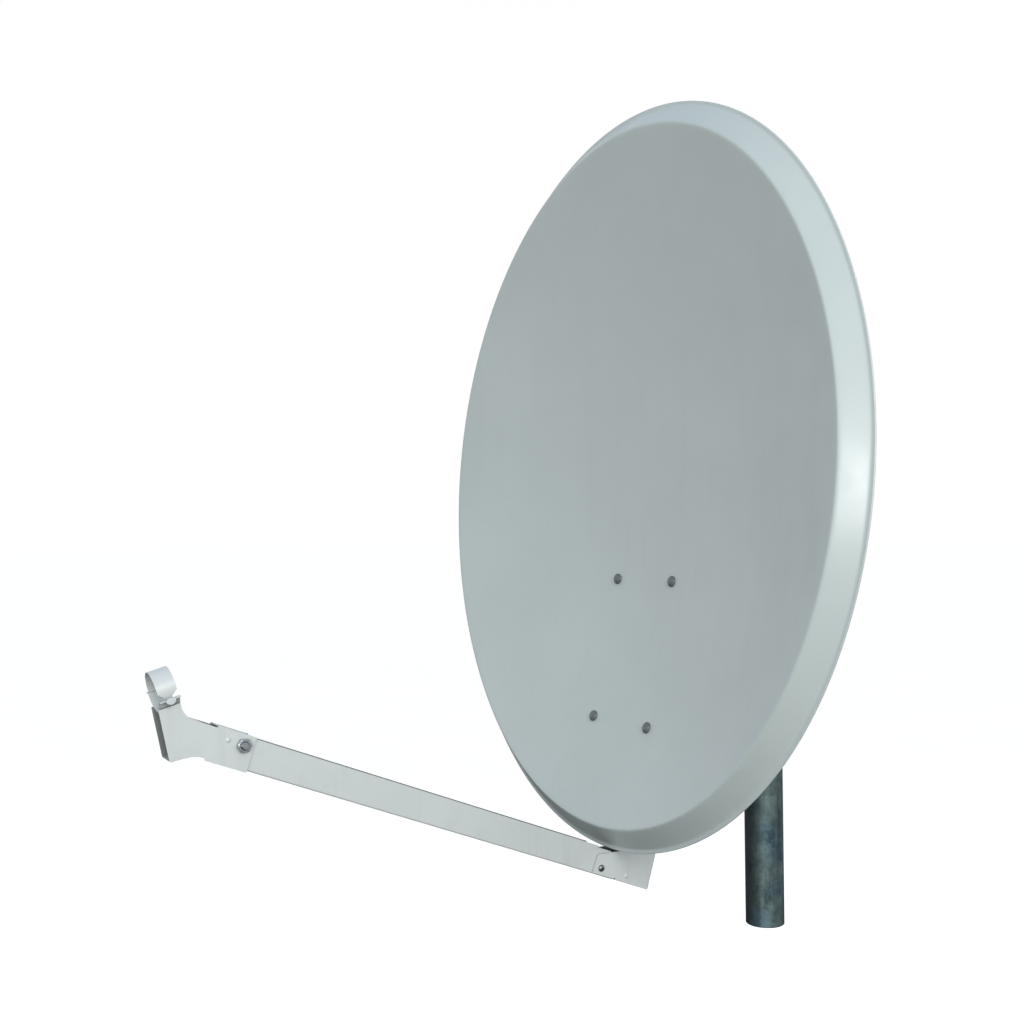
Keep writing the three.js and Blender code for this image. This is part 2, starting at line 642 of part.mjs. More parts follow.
function addHolder() {
  for (const [name, side] of Object.entries(SIDES)) {
    add(arm, `holder_${name}`, holderHalf(side), ARM_GREY);
  }
  const [along, up] = HOLDER_BOLT;
  const head = [[0, -3.2], [5, -3], [7.6, -1.4], [8, 0]];
  const profile = [...head, ...shank(M8, 2 * CHEEK_OUT + GAP + 10)];
  add(arm, "holder_bolt", turned(profile, at(-CHEEK_OUT - GAP, up, along), X), ZINC);
  add(arm, "holder_nut", hexNut(M8_NUT, at(CHEEK_OUT + GAP, up, along), X), ZINC);
}

// ---------------------------------------------------------------- neck collar
// Inside this group X is across, Y is up out of the saddle and Z points forwards along the neck.
const collar = new THREE.Group();
collar.position.set(0, COLLAR_UP, COLLAR_ALONG);
collar.rotation.x = COLLAR_TURN;
arm.add(collar);

function angleAt(height, radius) {
  return THREE.MathUtils.radToDeg(Math.asin(height / radius));
}

function addSaddle() {
  const [inner, outer] = [NECK_RADIUS, NECK_RADIUS + SADDLE_SHEET];
  const sheet = SADDLE_SHEET;
  const band = [
    ...arc(0, 0, outer, -180 - angleAt(EAR_FAR - sheet, outer), angleAt(EAR_NEAR - sheet, outer), 22),
    [EAR_EDGE, EAR_NEAR - sheet],
    [EAR_EDGE, EAR_NEAR],
    ...arc(0, 0, inner, angleAt(EAR_NEAR, inner), -180 - angleAt(EAR_FAR, inner), 22),
    [-28, EAR_FAR],
    [-28, EAR_FAR - sheet],
  ];
  const slot = box([-25.6, -21.95], [EAR_FAR - 3, 0], [-8, 8]);
  const saddle = slabXY(band, -SADDLE_HALF, SADDLE_HALF).subtract(slot);
  add(collar, "lnb_saddle", saddle, ARM_GREY);
}

// The strap hooks into the far ear's slot. Its near end narrows to a tongue that lies on the near
// ear and turns down in front of the ear's edge as a round tab.
function addStrap() {
  const inner = NECK_RADIUS + 0.1;
  const outer = inner + STRAP_SHEET;
  const tongue = EAR_NEAR + 0.4;
  const tongueTop = tongue + STRAP_SHEET;
  const hook = EAR_FAR + 0.4;
  const hookTop = hook + STRAP_SHEET;
  const tabBack = EAR_EDGE + GAP;
  const tabFront = tabBack + STRAP_SHEET;
  const band = [
    ...arc(0, 0, outer, angleAt(tongueTop, outer), 180 - angleAt(hookTop, outer), 28),
    [HOOK_X - 0.4, hookTop],
    [HOOK_X - 0.4, EAR_FAR - 1.4],
    [HOOK_X + 0.4, EAR_FAR - 1.4],
    [HOOK_X + 0.4, hook],
    ...arc(0, 0, inner, 180 - angleAt(hook, inner), angleAt(tongue, inner), 28),
    [tabFront, tongue],
    [tabFront, tongueTop],
  ];
  let strap = slabXY(band, -STRAP_HALF, STRAP_HALF);
  const taperFrom = -0.5;
  for (const side of [-1, 1]) {
    const beside = [
      [taperFrom, side * STRAP_HALF],
      [tongueTop, side * TONGUE_HALF],
      [-12, side * TONGUE_HALF],
      [-12, side * 20],
      [taperFrom, side * 20],
    ];
    strap = strap.subtract(slabYZ(beside, 10, 30));
    const [z0, z1] = [7.4 * side, 12 * side].sort((p, q) => p - q);
    strap = strap.subtract(box([-30, -22.2], [-12, 0], [z0, z1]));
  }
  const tab = [
    [tongueTop, -TONGUE_HALF],
    [tongueTop, TONGUE_HALF],
    ...arc(EAR_NEAR, 0, TAB_RADIUS, 90, 270, 12),
  ];
  strap = strap.add(slabYZ(tab, tabBack, tabFront));
  add(collar, "clamp_strap", strap, ARM_GREY);
}

addMast();
addMount();
addClamps();
addCheekBolt("pivot", PIVOT_Z);
addCheekBolt("lock", LOCK_Z);
addReflector();
addFrame();
addDishBolts();
addArmBracket();
addArm();
addHolder();
addSaddle();
addStrap();

export default dish;
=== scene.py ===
"""An offset satellite dish with its feed arm, neck collar and mast clamp, finished for rendering.

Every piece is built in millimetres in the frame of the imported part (+Z up, the dish looks along -Y,
origin at the centre of the mast's lower end) and scaled to metres when it becomes an object.
"""
from math import acos, asin, atan2, cos, degrees, pi, radians, sin, sqrt, tan

import bmesh
import bpy
from mathutils import Matrix, Vector


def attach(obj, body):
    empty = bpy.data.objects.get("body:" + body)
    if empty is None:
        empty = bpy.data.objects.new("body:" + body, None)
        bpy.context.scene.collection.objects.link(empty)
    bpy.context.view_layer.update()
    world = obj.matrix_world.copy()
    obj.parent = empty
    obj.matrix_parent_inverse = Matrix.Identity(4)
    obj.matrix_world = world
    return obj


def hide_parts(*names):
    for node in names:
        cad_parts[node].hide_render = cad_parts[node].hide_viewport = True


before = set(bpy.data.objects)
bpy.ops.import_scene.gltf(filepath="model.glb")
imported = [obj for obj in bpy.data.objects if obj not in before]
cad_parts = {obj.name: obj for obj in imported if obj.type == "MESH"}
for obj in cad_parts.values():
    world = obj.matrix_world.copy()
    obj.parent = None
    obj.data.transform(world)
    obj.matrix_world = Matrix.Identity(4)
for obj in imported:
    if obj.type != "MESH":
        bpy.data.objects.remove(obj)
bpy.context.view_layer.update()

# ---- driving dimensions, in millimetres
MM = 0.001
GAP = 0.3

RIM_HALF_WIDTH = 425
RIM_HALF_HEIGHT = 456.6
RIM_INSET = 26.9
RIM_DEPTH = 22.8
SHEET = 0.9
FOCAL_LENGTH = 500
FACE_LEAN = radians(3.47)
FACE_Y = -250.6
FACE_Z = 592.6
FACE_A = RIM_HALF_WIDTH - RIM_INSET
FACE_B = RIM_HALF_HEIGHT - RIM_INSET
OFFSET_ANGLE = acos(FACE_A / FACE_B)

BOLT_HALF_SPACING = 57.7
BOLT_ROWS = {"lower": -305.2, "upper": -128.6}
# Threads go by their radius; a nut's size is its width across flats and its height.
M6 = 3
M8 = 4
PITCH = {M6: 1.0, M8: 1.25}
NUT_SIZE = {M6: (10, 5.2), M8: (13, 6.5)}
BOLT_HEAD = 5.2
WASHER_SHEET = 1.6
CLEARANCE = 0.4

MAST_RADIUS = 25.4
MAST_WALL = 3.2
MAST_TOP = 498
CLAMP_HEIGHTS = {"lower": 356, "upper": 446}
LEG_X = 30
WEB_Y = -44.6
PLATE = 3
LEG_TIP = WEB_Y - PLATE - 12

PIVOT_Y = -110
PIVOT_Z = 442
LOCK_RADIUS = 90
LOCK_Z = PIVOT_Z - LOCK_RADIUS
ELEVATION_DOWN = 15
ELEVATION_UP = 30
MOUNT_HALF = 41.5
MOUNT_BOTTOM = 318
MOUNT_TOP = 484
FRAME_INNER = MOUNT_HALF + 0.8
BRACKET_SHEET = 2
DIMPLE = [(0, -0.5), (2.9, -0.5), (2.9, 0), (2.5, 0.35), (1.8, 0.75), (0.9, 1.0), (0, 1.1)]

HINGE_Y = -270.5
HINGE_Z = 114
ARM_RISE = radians(21.5)
ARM_TAIL = -22
ARM_TIP = 505
ARM_BOTTOM = -9.2
ARM_TOP = 24.4
ARM_HALF = 14
ARM_SHEET = 1.5
CHEEK_IN = ARM_HALF + GAP
CHEEK_OUT = CHEEK_IN + ARM_SHEET
HOLDER_TOP = ARM_TOP + GAP + ARM_SHEET
HOLDER_BOTTOM = ARM_BOTTOM - GAP - ARM_SHEET
HOLDER_BOLT = (480.5, 15)

COLLAR_ALONG = 576.5
COLLAR_UP = 43.5
COLLAR_TURN = radians(37.5)
NECK_RADIUS = 20.3
STRAP_SHEET = 0.8
SADDLE_SHEET = 1.2
STRAP_HALF = 10
SADDLE_HALF = 10.8
EAR_NEAR = -8
EAR_FAR = -3
EAR_EDGE = 26
FAR_EAR_EDGE = -28
HOOK_X = -24
TONGUE_HALF = 3.2
TAB_RADIUS = 5.2

SIDES = {"left": -1, "right": 1}
ALONG_X = Vector((1, 0, 0))
ALONG_Y = Vector((0, 1, 0))
ALONG_Z = Vector((0, 0, 1))


# ---- places
def from_face(x, up, back):
    """From the face's own axes (across, up along its plane, back from it) to the part's."""
    s, c = sin(FACE_LEAN), cos(FACE_LEAN)
    return Vector((x, FACE_Y + up * s + back * c, FACE_Z + up * c - back * s))


def bowl_depth(x, up):
    """How far the bowl's front lies behind the plane of the face's edge."""
    sag = 0.0
    for _ in range(12):
        y = (up + sag * sin(OFFSET_ANGLE)) * cos(OFFSET_ANGLE)
        sag = (FACE_A**2 - x**2 - y**2) / (4 * FOCAL_LENGTH)
    return sag * cos(OFFSET_ANGLE)


def bowl_normal(x, up):
    """The direction out of the bowl's back."""
    slope_x = bowl_depth(x + 0.5, up) - bowl_depth(x - 0.5, up)
    slope_up = bowl_depth(x, up + 0.5) - bowl_depth(x, up - 0.5)
    return (from_face(-slope_x, -slope_up, 1) - from_face(0, 0, 0)).normalized()


def from_arm(along, up):
    """A place in the side view, along the arm from its hinge and square to it, as (y, z)."""
    s, c = sin(ARM_RISE), cos(ARM_RISE)
    return HINGE_Y - along * c + up * s, HINGE_Z + along * s + up * c


def to_arm(point):
    """The place along and above the arm's hinge line of a point in the part's frame."""
    y, z = point[1] - HINGE_Y, point[2] - HINGE_Z
    s, c = sin(ARM_RISE), cos(ARM_RISE)
    return -y * c + z * s, y * s + z * c


LOWER_BACK, UPPER_BACK = (
    from_face(0, up, bowl_depth(BOLT_HALF_SPACING, up) + SHEET) for up in BOLT_ROWS.values()
)
PLATE_UP = (UPPER_BACK - LOWER_BACK).normalized()
PLATE_OUT = Vector((0, PLATE_UP.z, -PLATE_UP.y))
STAND_OFF = 8
BASE_REAR = STAND_OFF + PLATE


def on_plate(up, out):
    """A place on the rear frame's base plate in the side view, as (y, z)."""
    point = LOWER_BACK + PLATE_UP * up + PLATE_OUT * out
    return point.y, point.z


# Each turns two places in a drawing plane and a level square to it into a point of the part.
def plan(x, y, z):
    return Vector((x, y, z))


def side_view(y, z, x):
    return Vector((x, y, z))


def arm_side(along, up, x):
    return Vector((x, *from_arm(along, up)))


def arm_section(x, up, along):
    return Vector((x, *from_arm(along, up)))


def on_collar(up, forward):
    """A place in the neck collar's section, along and above the arm's hinge line."""
    s, c = sin(COLLAR_TURN), cos(COLLAR_TURN)
    return COLLAR_ALONG + up * s + forward * c, COLLAR_UP + up * c - forward * s


def collar_section(x, up, forward):
    return arm_side(*on_collar(up, forward), x)


def collar_side(forward, up, x):
    return collar_section(x, up, forward)


def frame_plate(x, up, out):
    return Vector((x, *on_plate(up, out)))


# Each dish bolt's row, its name, its place on the bowl's front and its direction to the back.
BOLT_PLACES = []
for row_name, row_up in BOLT_ROWS.items():
    for side_name, x_sign in SIDES.items():
        bolt_x = x_sign * BOLT_HALF_SPACING
        bolt_front = from_face(bolt_x, row_up, bowl_depth(bolt_x, row_up))
        bolt_name = f"{row_name}_{side_name}"
        BOLT_PLACES.append((row_name, bolt_name, bolt_front, bowl_normal(bolt_x, row_up)))


# ---- outlines
def arc(cx, cy, radius, start, end, steps):
    """Points on an arc, with the angles in degrees."""
    angles = [radians(start + (end - start) * i / steps) for i in range(steps + 1)]
    return [(cx + radius * cos(a), cy + radius * sin(a)) for a in angles]


def rounded(points, radii, steps=6):
    """The closed outline with its corners turned into arcs; radii is one number or one a corner."""
    made = []
    for i, corner in enumerate(points):
        radius = radii[i] if isinstance(radii, (list, tuple)) else radii
        here = Vector(corner)
        before = Vector(points[i - 1]) - here
        after = Vector(points[(i + 1) % len(points)]) - here
        half = before.angle(after) / 2
        if radius <= 0 or half > radians(88):
            made.append(tuple(here))
            continue
        cut = min(radius / tan(half), 0.48 * before.length, 0.48 * after.length)
        before.normalize()
        after.normalize()
        middle = here + (before + after).normalized() * (cut / cos(half))
        first = here + before * cut - middle
        last = here + after * cut - middle
        sweep = atan2(first.x * last.y - first.y * last.x, first.dot(last))
        for k in range(steps + 1):
            turn = sweep * k / steps
            c, s = cos(turn), sin(turn)
            made.append((middle.x + first.x * c - first.y * s, middle.y + first.x * s + first.y * c))
    return made


def about_pivot(radius, start, end, steps):
    return arc(PIVOT_Y, PIVOT_Z, radius, start, end, steps)


def oblong(left, right, bottom, top):
    return [(left, bottom), (right, bottom), (right, top), (left, top)]


def circle(count):
    """That many angles, evenly spaced round a full turn."""
    return [2 * pi * i / count for i in range(count)]


def angle_at(height, radius):
    return degrees(asin(height / radius))


# ---- meshes, in millimetres
def opened(*meshes):
    """An editable shape with the faces of the meshes."""
    shape = bmesh.new()
    for mesh in meshes:
        shape.from_mesh(mesh)
    return shape


def closed(shape, mesh):
    """The mesh, written again from the editable shape."""
    shape.to_mesh(mesh)
    shape.free()
    return mesh


def loft(rings, ends="cap"):
    """A skin over rings of points, with its faces turned outwards. ends is cap, loop or open."""
    count = len(rings[0])
    shape = opened()
    corners = [shape.verts.new(p) for ring in rings for p in ring]
    last = len(rings) if ends == "loop" else len(rings) - 1
    for r in range(last):
        a, b = r * count, ((r + 1) % len(rings)) * count
        for i in range(count):
            j = (i + 1) % count
            shape.faces.new([corners[k] for k in (a + i, a + j, b + j, b + i)])
    if ends == "cap":
        shape.faces.new(corners[:count])
        shape.faces.new(corners[-count:])
    bmesh.ops.remove_doubles(shape, verts=shape.verts, dist=1e-4)
    bmesh.ops.recalc_face_normals(shape, faces=shape.faces)
    return closed(shape, bpy.data.meshes.new("made"))

def prism(outline, low, high, place):
    """A flat outline thickened between two levels."""
    return loft([[place(u, v, level) for u, v in outline] for level in (low, high)])


def basis(axis):
    """Two directions square to an axis."""
    axis = Vector(axis).normalized()
    other = ALONG_Z if abs(axis.z) < 0.9 else ALONG_X
    u = axis.cross(other).normalized()
    return u, axis.cross(u)

def spoke(u, v, angle):
    """The direction at an angle from u towards v."""
    return u * cos(angle) + v * sin(angle)


def turned(profile, start, axis, segments=48):
    """A solid of revolution; the profile lists radius and height, and starts and ends on the axis
    or closes on itself."""
    axis = Vector(axis).normalized()
    u, v = basis(axis)
    rings = []
    for radius, height in profile:
        middle = Vector(start) + axis * height
        rings.append([middle + spoke(u, v, a) * max(radius, 0) for a in circle(segments)])
    on_axis = profile[0][0] <= 0
    return drop_flat(loft(rings, ends="open" if on_axis else "loop"))


def drop_flat(mesh):
    """Removes the faces that closed to a line where a profile meets its axis."""
    shape = opened(mesh)
    bmesh.ops.dissolve_degenerate(shape, edges=shape.edges, dist=1e-5)
    return closed(shape, mesh)


def cylinder(radius, start, axis, length, segments=48):
    return turned([(0, 0), (radius, 0), (radius, length), (0, length)], start, axis, segments)


def joined(*meshes):
    """Several bodies in one mesh, left as they are."""
    shape = opened(*meshes)
    for mesh in meshes:
        bpy.data.meshes.remove(mesh)
    return closed(shape, bpy.data.meshes.new("made"))


def placed(name, data):
    """A new object in the scene."""
    made = bpy.data.objects.new(name, data)
    bpy.context.scene.collection.objects.link(made)
    return made


def evaluated(mesh, **modifiers):
    """The mesh after modifiers, each given as its kind with its settings."""
    holder = placed("holder", mesh)
    for kind, settings in modifiers.items():
        step = holder.modifiers.new(kind, kind)
        for key, value in settings.items():
            setattr(step, key, value)
    graph = bpy.context.evaluated_depsgraph_get()
    made = bpy.data.meshes.new_from_object(holder.evaluated_get(graph))
    bpy.data.objects.remove(holder)
    bpy.data.meshes.remove(mesh)
    return made


def combine(mesh, tools, operation):
    """Joins, cuts or intersects a mesh with each tool in turn."""
    for tool in tools:
        other = placed("tool", tool)
        mesh = evaluated(mesh, BOOLEAN={"operation": operation, "solver": "EXACT", "object": other})
        bpy.data.objects.remove(other)
        bpy.data.meshes.remove(tool)
    return mesh


def cut(mesh, *tools):
    return combine(mesh, tools, "DIFFERENCE")


def fuse(mesh, *tools):
    return combine(mesh, tools, "UNION")


def within(mesh, tool):
    return combine(mesh, [tool], "INTERSECT")


def cleaned(mesh):
    """Joins doubled points and the flat faces that booleans leave in pieces."""
    shape = opened(mesh)
    bmesh.ops.remove_doubles(shape, verts=shape.verts, dist=0.005)
    bmesh.ops.dissolve_degenerate(shape, edges=shape.edges, dist=0.005)
    bmesh.ops.dissolve_limit(
        shape, angle_limit=radians(0.4), verts=shape.verts, edges=shape.edges, delimit=set()
    )
    return closed(shape, mesh)


def folded(mesh, is_fold, radius, segments=5):
    """Rounds the edges whose two ends both pass is_fold, as a sheet is where it is bent."""
    shape = opened(cleaned(mesh))
    edges = [e for e in shape.edges if all(is_fold(v.co) for v in e.verts)]
    edges = [e for e in edges if e.calc_face_angle(0) > radians(30)]
    bmesh.ops.bevel(
        shape, geom=edges, offset=radius, segments=segments, profile=0.5, affect="EDGES",
        clamp_overlap=True,
    )
    return closed(shape, mesh)


def eased(mesh, width):
    """Small rounds on every sharp edge, with the flats kept flat in the shading."""
    mesh = cleaned(mesh)
    mesh.shade_smooth()
    edge = {"width": width, "segments": 2, "limit_method": "ANGLE", "angle_limit": radians(32)}
    edge["use_clamp_overlap"] = True
    return evaluated(mesh, BEVEL=edge, WEIGHTED_NORMAL={"weight": 60, "keep_sharp": True})


# ---- materials
def adjusted(made, **settings):
    """Sets a node's properties and inputs by name; an input may take another node's output."""
    for key, value in settings.items():
        if hasattr(made, key):
            setattr(made, key, value)
            continue
        socket = made.inputs[key.replace("_", " ")]
        if isinstance(value, bpy.types.NodeSocket):
            made.id_data.links.new(value, socket)
        else:
            socket.default_value = value
    return made


def node(tree, kind, **settings):
    return adjusted(tree.nodes.new(kind), **settings)


def started(name):
    """A new material's parts: itself, its tree, its shader and the object's own coordinates."""
    material = bpy.data.materials.new(name)
    material.use_nodes = True
    tree = material.node_tree
    place = node(tree, "ShaderNodeTexCoord").outputs["Object"]
    return material, tree, tree.nodes["Principled BSDF"], place


def stretched(place, scale):
    return node(place.id_data, "ShaderNodeMapping", Scale=scale, Vector=place).outputs["Vector"]


def noise(place, scale, detail=3.0, roughness=0.5):
    made = node(place.id_data, "ShaderNodeTexNoise", Scale=scale, Detail=detail, Roughness=roughness)
    return adjusted(made, Vector=place).outputs["Fac"]


def ranged(value, low, high, to_low=0.0, to_high=1.0):
    made = node(value.id_data, "ShaderNodeMapRange", From_Min=low, From_Max=high, Value=value)
    return adjusted(made, To_Min=to_low, To_Max=to_high).outputs["Result"]


def product(first, second):
    made = node(first.id_data, "ShaderNodeMath", operation="MULTIPLY")
    for socket, value in zip(made.inputs, (first, second)):
        made.id_data.links.new(value, socket)
    return made.outputs[0]


def parts_of(vector):
    """The outputs X, Y and Z of a vector."""
    return node(vector.id_data, "ShaderNodeSeparateXYZ", Vector=vector).outputs


def mixed(factor, first, second, blend="MIX"):
    """A mix of two colours, each a colour or another node's output."""
    made = node(factor.id_data, "ShaderNodeMix", data_type="RGBA", blend_type=blend, Factor=factor)
    for name, value in (("A", first), ("B", second)):
        socket = [s for s in made.inputs if s.name == name and s.type == "RGBA"][0]
        if isinstance(value, tuple):
            socket.default_value = (*value, 1)
        else:
            made.id_data.links.new(value, socket)
    return [s for s in made.outputs if s.type == "RGBA"][0]


def bumped(shader, heights):
    """Chains bump nodes, each a height with its strength and its depth in metres."""
    before = {}
    for value, strength, depth in heights:
        bump = node(shader.id_data, "ShaderNodeBump", Strength=strength, Distance=depth, Height=value)
        before = {"Normal": adjusted(bump, **before).outputs["Normal"]}
    adjusted(shader, **before)


def darker(colour, share):
    return tuple(c * share for c in colour)


def powder_coat(name, colour, grime_and_shade, streaks, peel, hollow_shade=0.0, inner_wall_shade=0.0):
    """Baked powder paint: a fine orange peel, faint tone changes, thin rain streaks and dust. Painted
    shade darkens the hollows and the walls that face each other across the middle."""
    material, tree, shader, place = started(name)
    broad = ranged(noise(place, 5.0, 4.0), 0.3, 0.7)
    base = mixed(broad, darker(colour, 0.965), darker(colour, 1.03))
    speck = ranged(noise(place, 2600.0, 1.0), 0.35, 0.7, 0.0, 0.09)
    base = mixed(speck, base, darker(colour, 0.6))
    runs = noise(stretched(place, (55, 55, 2.4)), 1.0, 4.0, 0.62)
    base = mixed(ranged(runs, 0.52, 0.74, 0.0, streaks), base, grime_and_shade)
    blotch = ranged(noise(place, 38.0, 5.0, 0.65), 0.55, 0.8, 0.0, streaks)
    base = mixed(blotch, base, grime_and_shade)
    # Painted shade: where the occlusion test finds surfaces close by, the colour goes to a dark grey,
    # as shade in hollows and between parts.
    if hollow_shade:
        hollow_occlusion = node(tree, "ShaderNodeAmbientOcclusion", samples=6, Distance=0.03)
        mix_share = ranged(hollow_occlusion.outputs["AO"], 0.25, 0.75, hollow_shade, 0.0)
        base = mixed(mix_share, base, darker(grime_and_shade, 0.3))
    # Painted shade: walls whose normals point in towards the middle get a much darker colour, for the
    # shade inside the channel and between the plates.
    if inner_wall_shade:
        facing = parts_of(node(tree, "ShaderNodeTexCoord").outputs["Normal"])
        inwards = product(facing["X"], parts_of(place)["X"])
        base = mixed(ranged(inwards, -0.010, -0.006, inner_wall_shade, 0.0), base, darker(grime_and_shade, 0.2))
    rough = ranged(noise(place, 24.0, 4.0), 0.3, 0.7, 0.29, 0.39)
    adjusted(shader, Base_Color=base, Roughness=rough, Specular_IOR_Level=0.5)
    fine, swell = noise(place, 620.0, 2.0), noise(place, 9.0, 2.0)
    bumped(shader, [(fine, peel, 0.0004), (swell, 0.1, 0.004)])
    return material


def zinc_plate(name, colour, tint, rough=(0.24, 0.42)):
    """Electroplated zinc: bright, faintly tinted, with fine scuffs and dull spots."""
    material, _, shader, place = started(name)
    base = mixed(ranged(noise(place, 90.0, 4.0), 0.35, 0.65), colour, tint)
    spots = ranged(noise(place, 420.0, 5.0, 0.7), 0.58, 0.72, 0.0, 0.45)
    base = mixed(spots, base, darker(colour, 0.5))
    scuff = noise(stretched(place, (180, 180, 1900)), 1.0, 3.0)
    adjusted(shader, Base_Color=base, Metallic=1.0, Roughness=ranged(scuff, 0.3, 0.7, *rough))
    bumped(shader, [(scuff, 0.12, 0.0002), (noise(place, 700.0, 3.0), 0.1, 0.0002)])
    return material


def galvanised_steel(name):
    """Weathered hot dip galvanising: crystal patches, dull teal grey mottling, dark runs. The mast's
    front left side, away from the light, is darkened with painted shade."""
    material, tree, shader, place = started(name)
    crystal = node(tree, "ShaderNodeTexVoronoi", Scale=1.0, Vector=stretched(place, (105, 105, 62)))
    grey = node(tree, "ShaderNodeSeparateColor", Color=crystal.outputs["Color"])
    patches = ranged(grey.outputs["Red"], 0.0, 1.0)
    base = mixed(patches, (0.050, 0.082, 0.088), (0.105, 0.150, 0.155))
    mottle = ranged(noise(place, 34.0, 6.0, 0.68), 0.40, 0.66, 0.0, 0.8)
    base = mixed(mottle, base, (0.190, 0.245, 0.245))
    runs = noise(stretched(place, (95, 95, 6)), 1.0, 5.0, 0.6)
    base = mixed(ranged(runs, 0.5, 0.7, 0.0, 0.55), base, (0.022, 0.036, 0.040))
    pale = ranged(noise(place, 260.0, 4.0, 0.7), 0.6, 0.75, 0.0, 0.5)
    base = mixed(pale, base, (0.26, 0.31, 0.31))
    hue = ranged(noise(place, 22.0, 3.0), 0.38, 0.62)
    base = mixed(hue, base, mixed(hue, (1.0, 0.96, 0.84), (0.80, 0.96, 1.12)), "MULTIPLY")
    # Painted shade: the side of the mast facing front left, away from the key light, is darkened almost
    # to black.
    across = node(tree, "ShaderNodeVectorMath", operation="DOT_PRODUCT", Vector=place)
    across.inputs[1].default_value = (-0.492, -0.870, 0)
    side_shade = ranged(across.outputs["Value"], 0.008, 0.0245, 0.0, 0.86)
    base = mixed(side_shade, base, (0.012, 0.020, 0.021))
    rough = ranged(noise(place, 120.0, 4.0), 0.3, 0.7, 0.36, 0.55)
    adjusted(shader, Base_Color=base, Metallic=0.75, Roughness=rough)
    grain = noise(place, 310.0, 4.0, 0.6)
    bumped(shader, [(patches, 0.1, 0.0003), (grain, 0.3, 0.0005), (runs, 0.15, 0.0008)])
    return material


def moulded_plastic(name, colour):
    """Black moulded polyethylene with a fine spark grain and dust on what faces up."""
    material, tree, shader, place = started(name)
    upwards = parts_of(node(tree, "ShaderNodeNewGeometry").outputs["Normal"])["Z"]
    dust = noise(place, 160.0, 5.0, 0.65)
    mix_share = product(ranged(upwards, 0.2, 1.0, 0.0, 0.5), ranged(dust, 0.35, 0.65, 0.2, 1.0))
    base = mixed(mix_share, colour, (0.22, 0.22, 0.2))
    adjusted(shader, Base_Color=base, Roughness=ranged(dust, 0.3, 0.7, 0.42, 0.62))
    bumped(shader, [(noise(place, 1500.0, 2.0), 0.25, 0.0002)])
    return material


def stamped_ink(name):
    """Dark pad printing, thin enough in places to show its grain."""
    material, _, shader, place = started(name)
    thin = ranged(noise(place, 1800.0, 4.0), 0.45, 0.7, 0.0, 0.5)
    base = mixed(thin, (0.03, 0.032, 0.034), (0.16, 0.17, 0.17))
    adjusted(shader, Base_Color=base, Roughness=ranged(thin, 0.0, 0.5, 0.45, 0.6))
    return material


PAINT = (0.385, 0.435, 0.430)
ARM_PAINT = (0.445, 0.48, 0.475)
# Painted shade: the dish bolts wear the dish's coat, and this much darker copy of its colour stands in
# for the shade on their heads.
SHADED_BOLT_PAINT = (0.085, 0.10, 0.10)
# Grime for the streaks and blotches; darker shares of it are also the painted shade in hollows and on
# facing walls.
GRIME_AND_SHADE = (0.20, 0.22, 0.19)
# The arm parts' coat, which darkens its hollows with painted shade.
ARM_LOOK = {"streaks": 0.12, "peel": 0.12, "hollow_shade": 0.4}

# Each finish is a material with a slot name.
DISH_COAT = (powder_coat("dish_powder_coat", PAINT, GRIME_AND_SHADE, streaks=0.05, peel=0.08), "dish_coat")
ARM_COAT = (powder_coat("arm_powder_coat", ARM_PAINT, GRIME_AND_SHADE, **ARM_LOOK), "arm_coat")
# The channel coat also paints shade on the walls that face each other across the middle.
CHANNEL_COAT = (
    powder_coat("channel_powder_coat", ARM_PAINT, GRIME_AND_SHADE, **ARM_LOOK, inner_wall_shade=0.62), "arm_coat",
)
# The dish bolts' coat, darkened with painted shade.
SHADED_BOLT_COAT = (
    powder_coat("bolt_powder_coat", SHADED_BOLT_PAINT, darker(GRIME_AND_SHADE, 0.4), streaks=0.2, peel=0.15),
    "dish_coat",
)
ZINC = (zinc_plate("zinc_plate", (0.62, 0.65, 0.66), (0.56, 0.56, 0.48)), "zinc")
GREY_ZINC = (
    zinc_plate("grey_zinc_plate", (0.42, 0.45, 0.47), (0.34, 0.37, 0.38), (0.26, 0.42)), "zinc",
)
DARK_ZINC = (
    zinc_plate("dark_zinc_plate", (0.24, 0.25, 0.26), (0.17, 0.18, 0.19), (0.3, 0.5)), "zinc",
)
GALVANISED = (galvanised_steel("weathered_galvanising"), "galvanised")
CAP_PLASTIC = (moulded_plastic("moulded_plastic", (0.016, 0.017, 0.019)), "cap_plastic")
INK = (stamped_ink("stamped_ink"), "cap_plastic")


# ---- objects
def piece(name, mesh, body, finish, nodes=(), angle=32):
    """An object from a mesh in millimetres, riding on a body and standing for CAD nodes."""
    material, slot = finish
    mesh.transform(Matrix.Scale(MM, 4))
    mesh.name = name
    if not mesh.has_custom_normals:
        mesh.shade_smooth()
        mesh.set_sharp_from_angle(angle=radians(angle))
    mesh.materials.clear()
    mesh.materials.append(material)
    made = placed(name, mesh)
    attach(made, body)
    if nodes:
        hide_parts(*nodes)


def stand_in(node_name, mesh, body, finish, angle=32):
    """The finished piece for one CAD node."""
    piece(f"{node_name}_finished", mesh, body, finish, [node_name], angle)


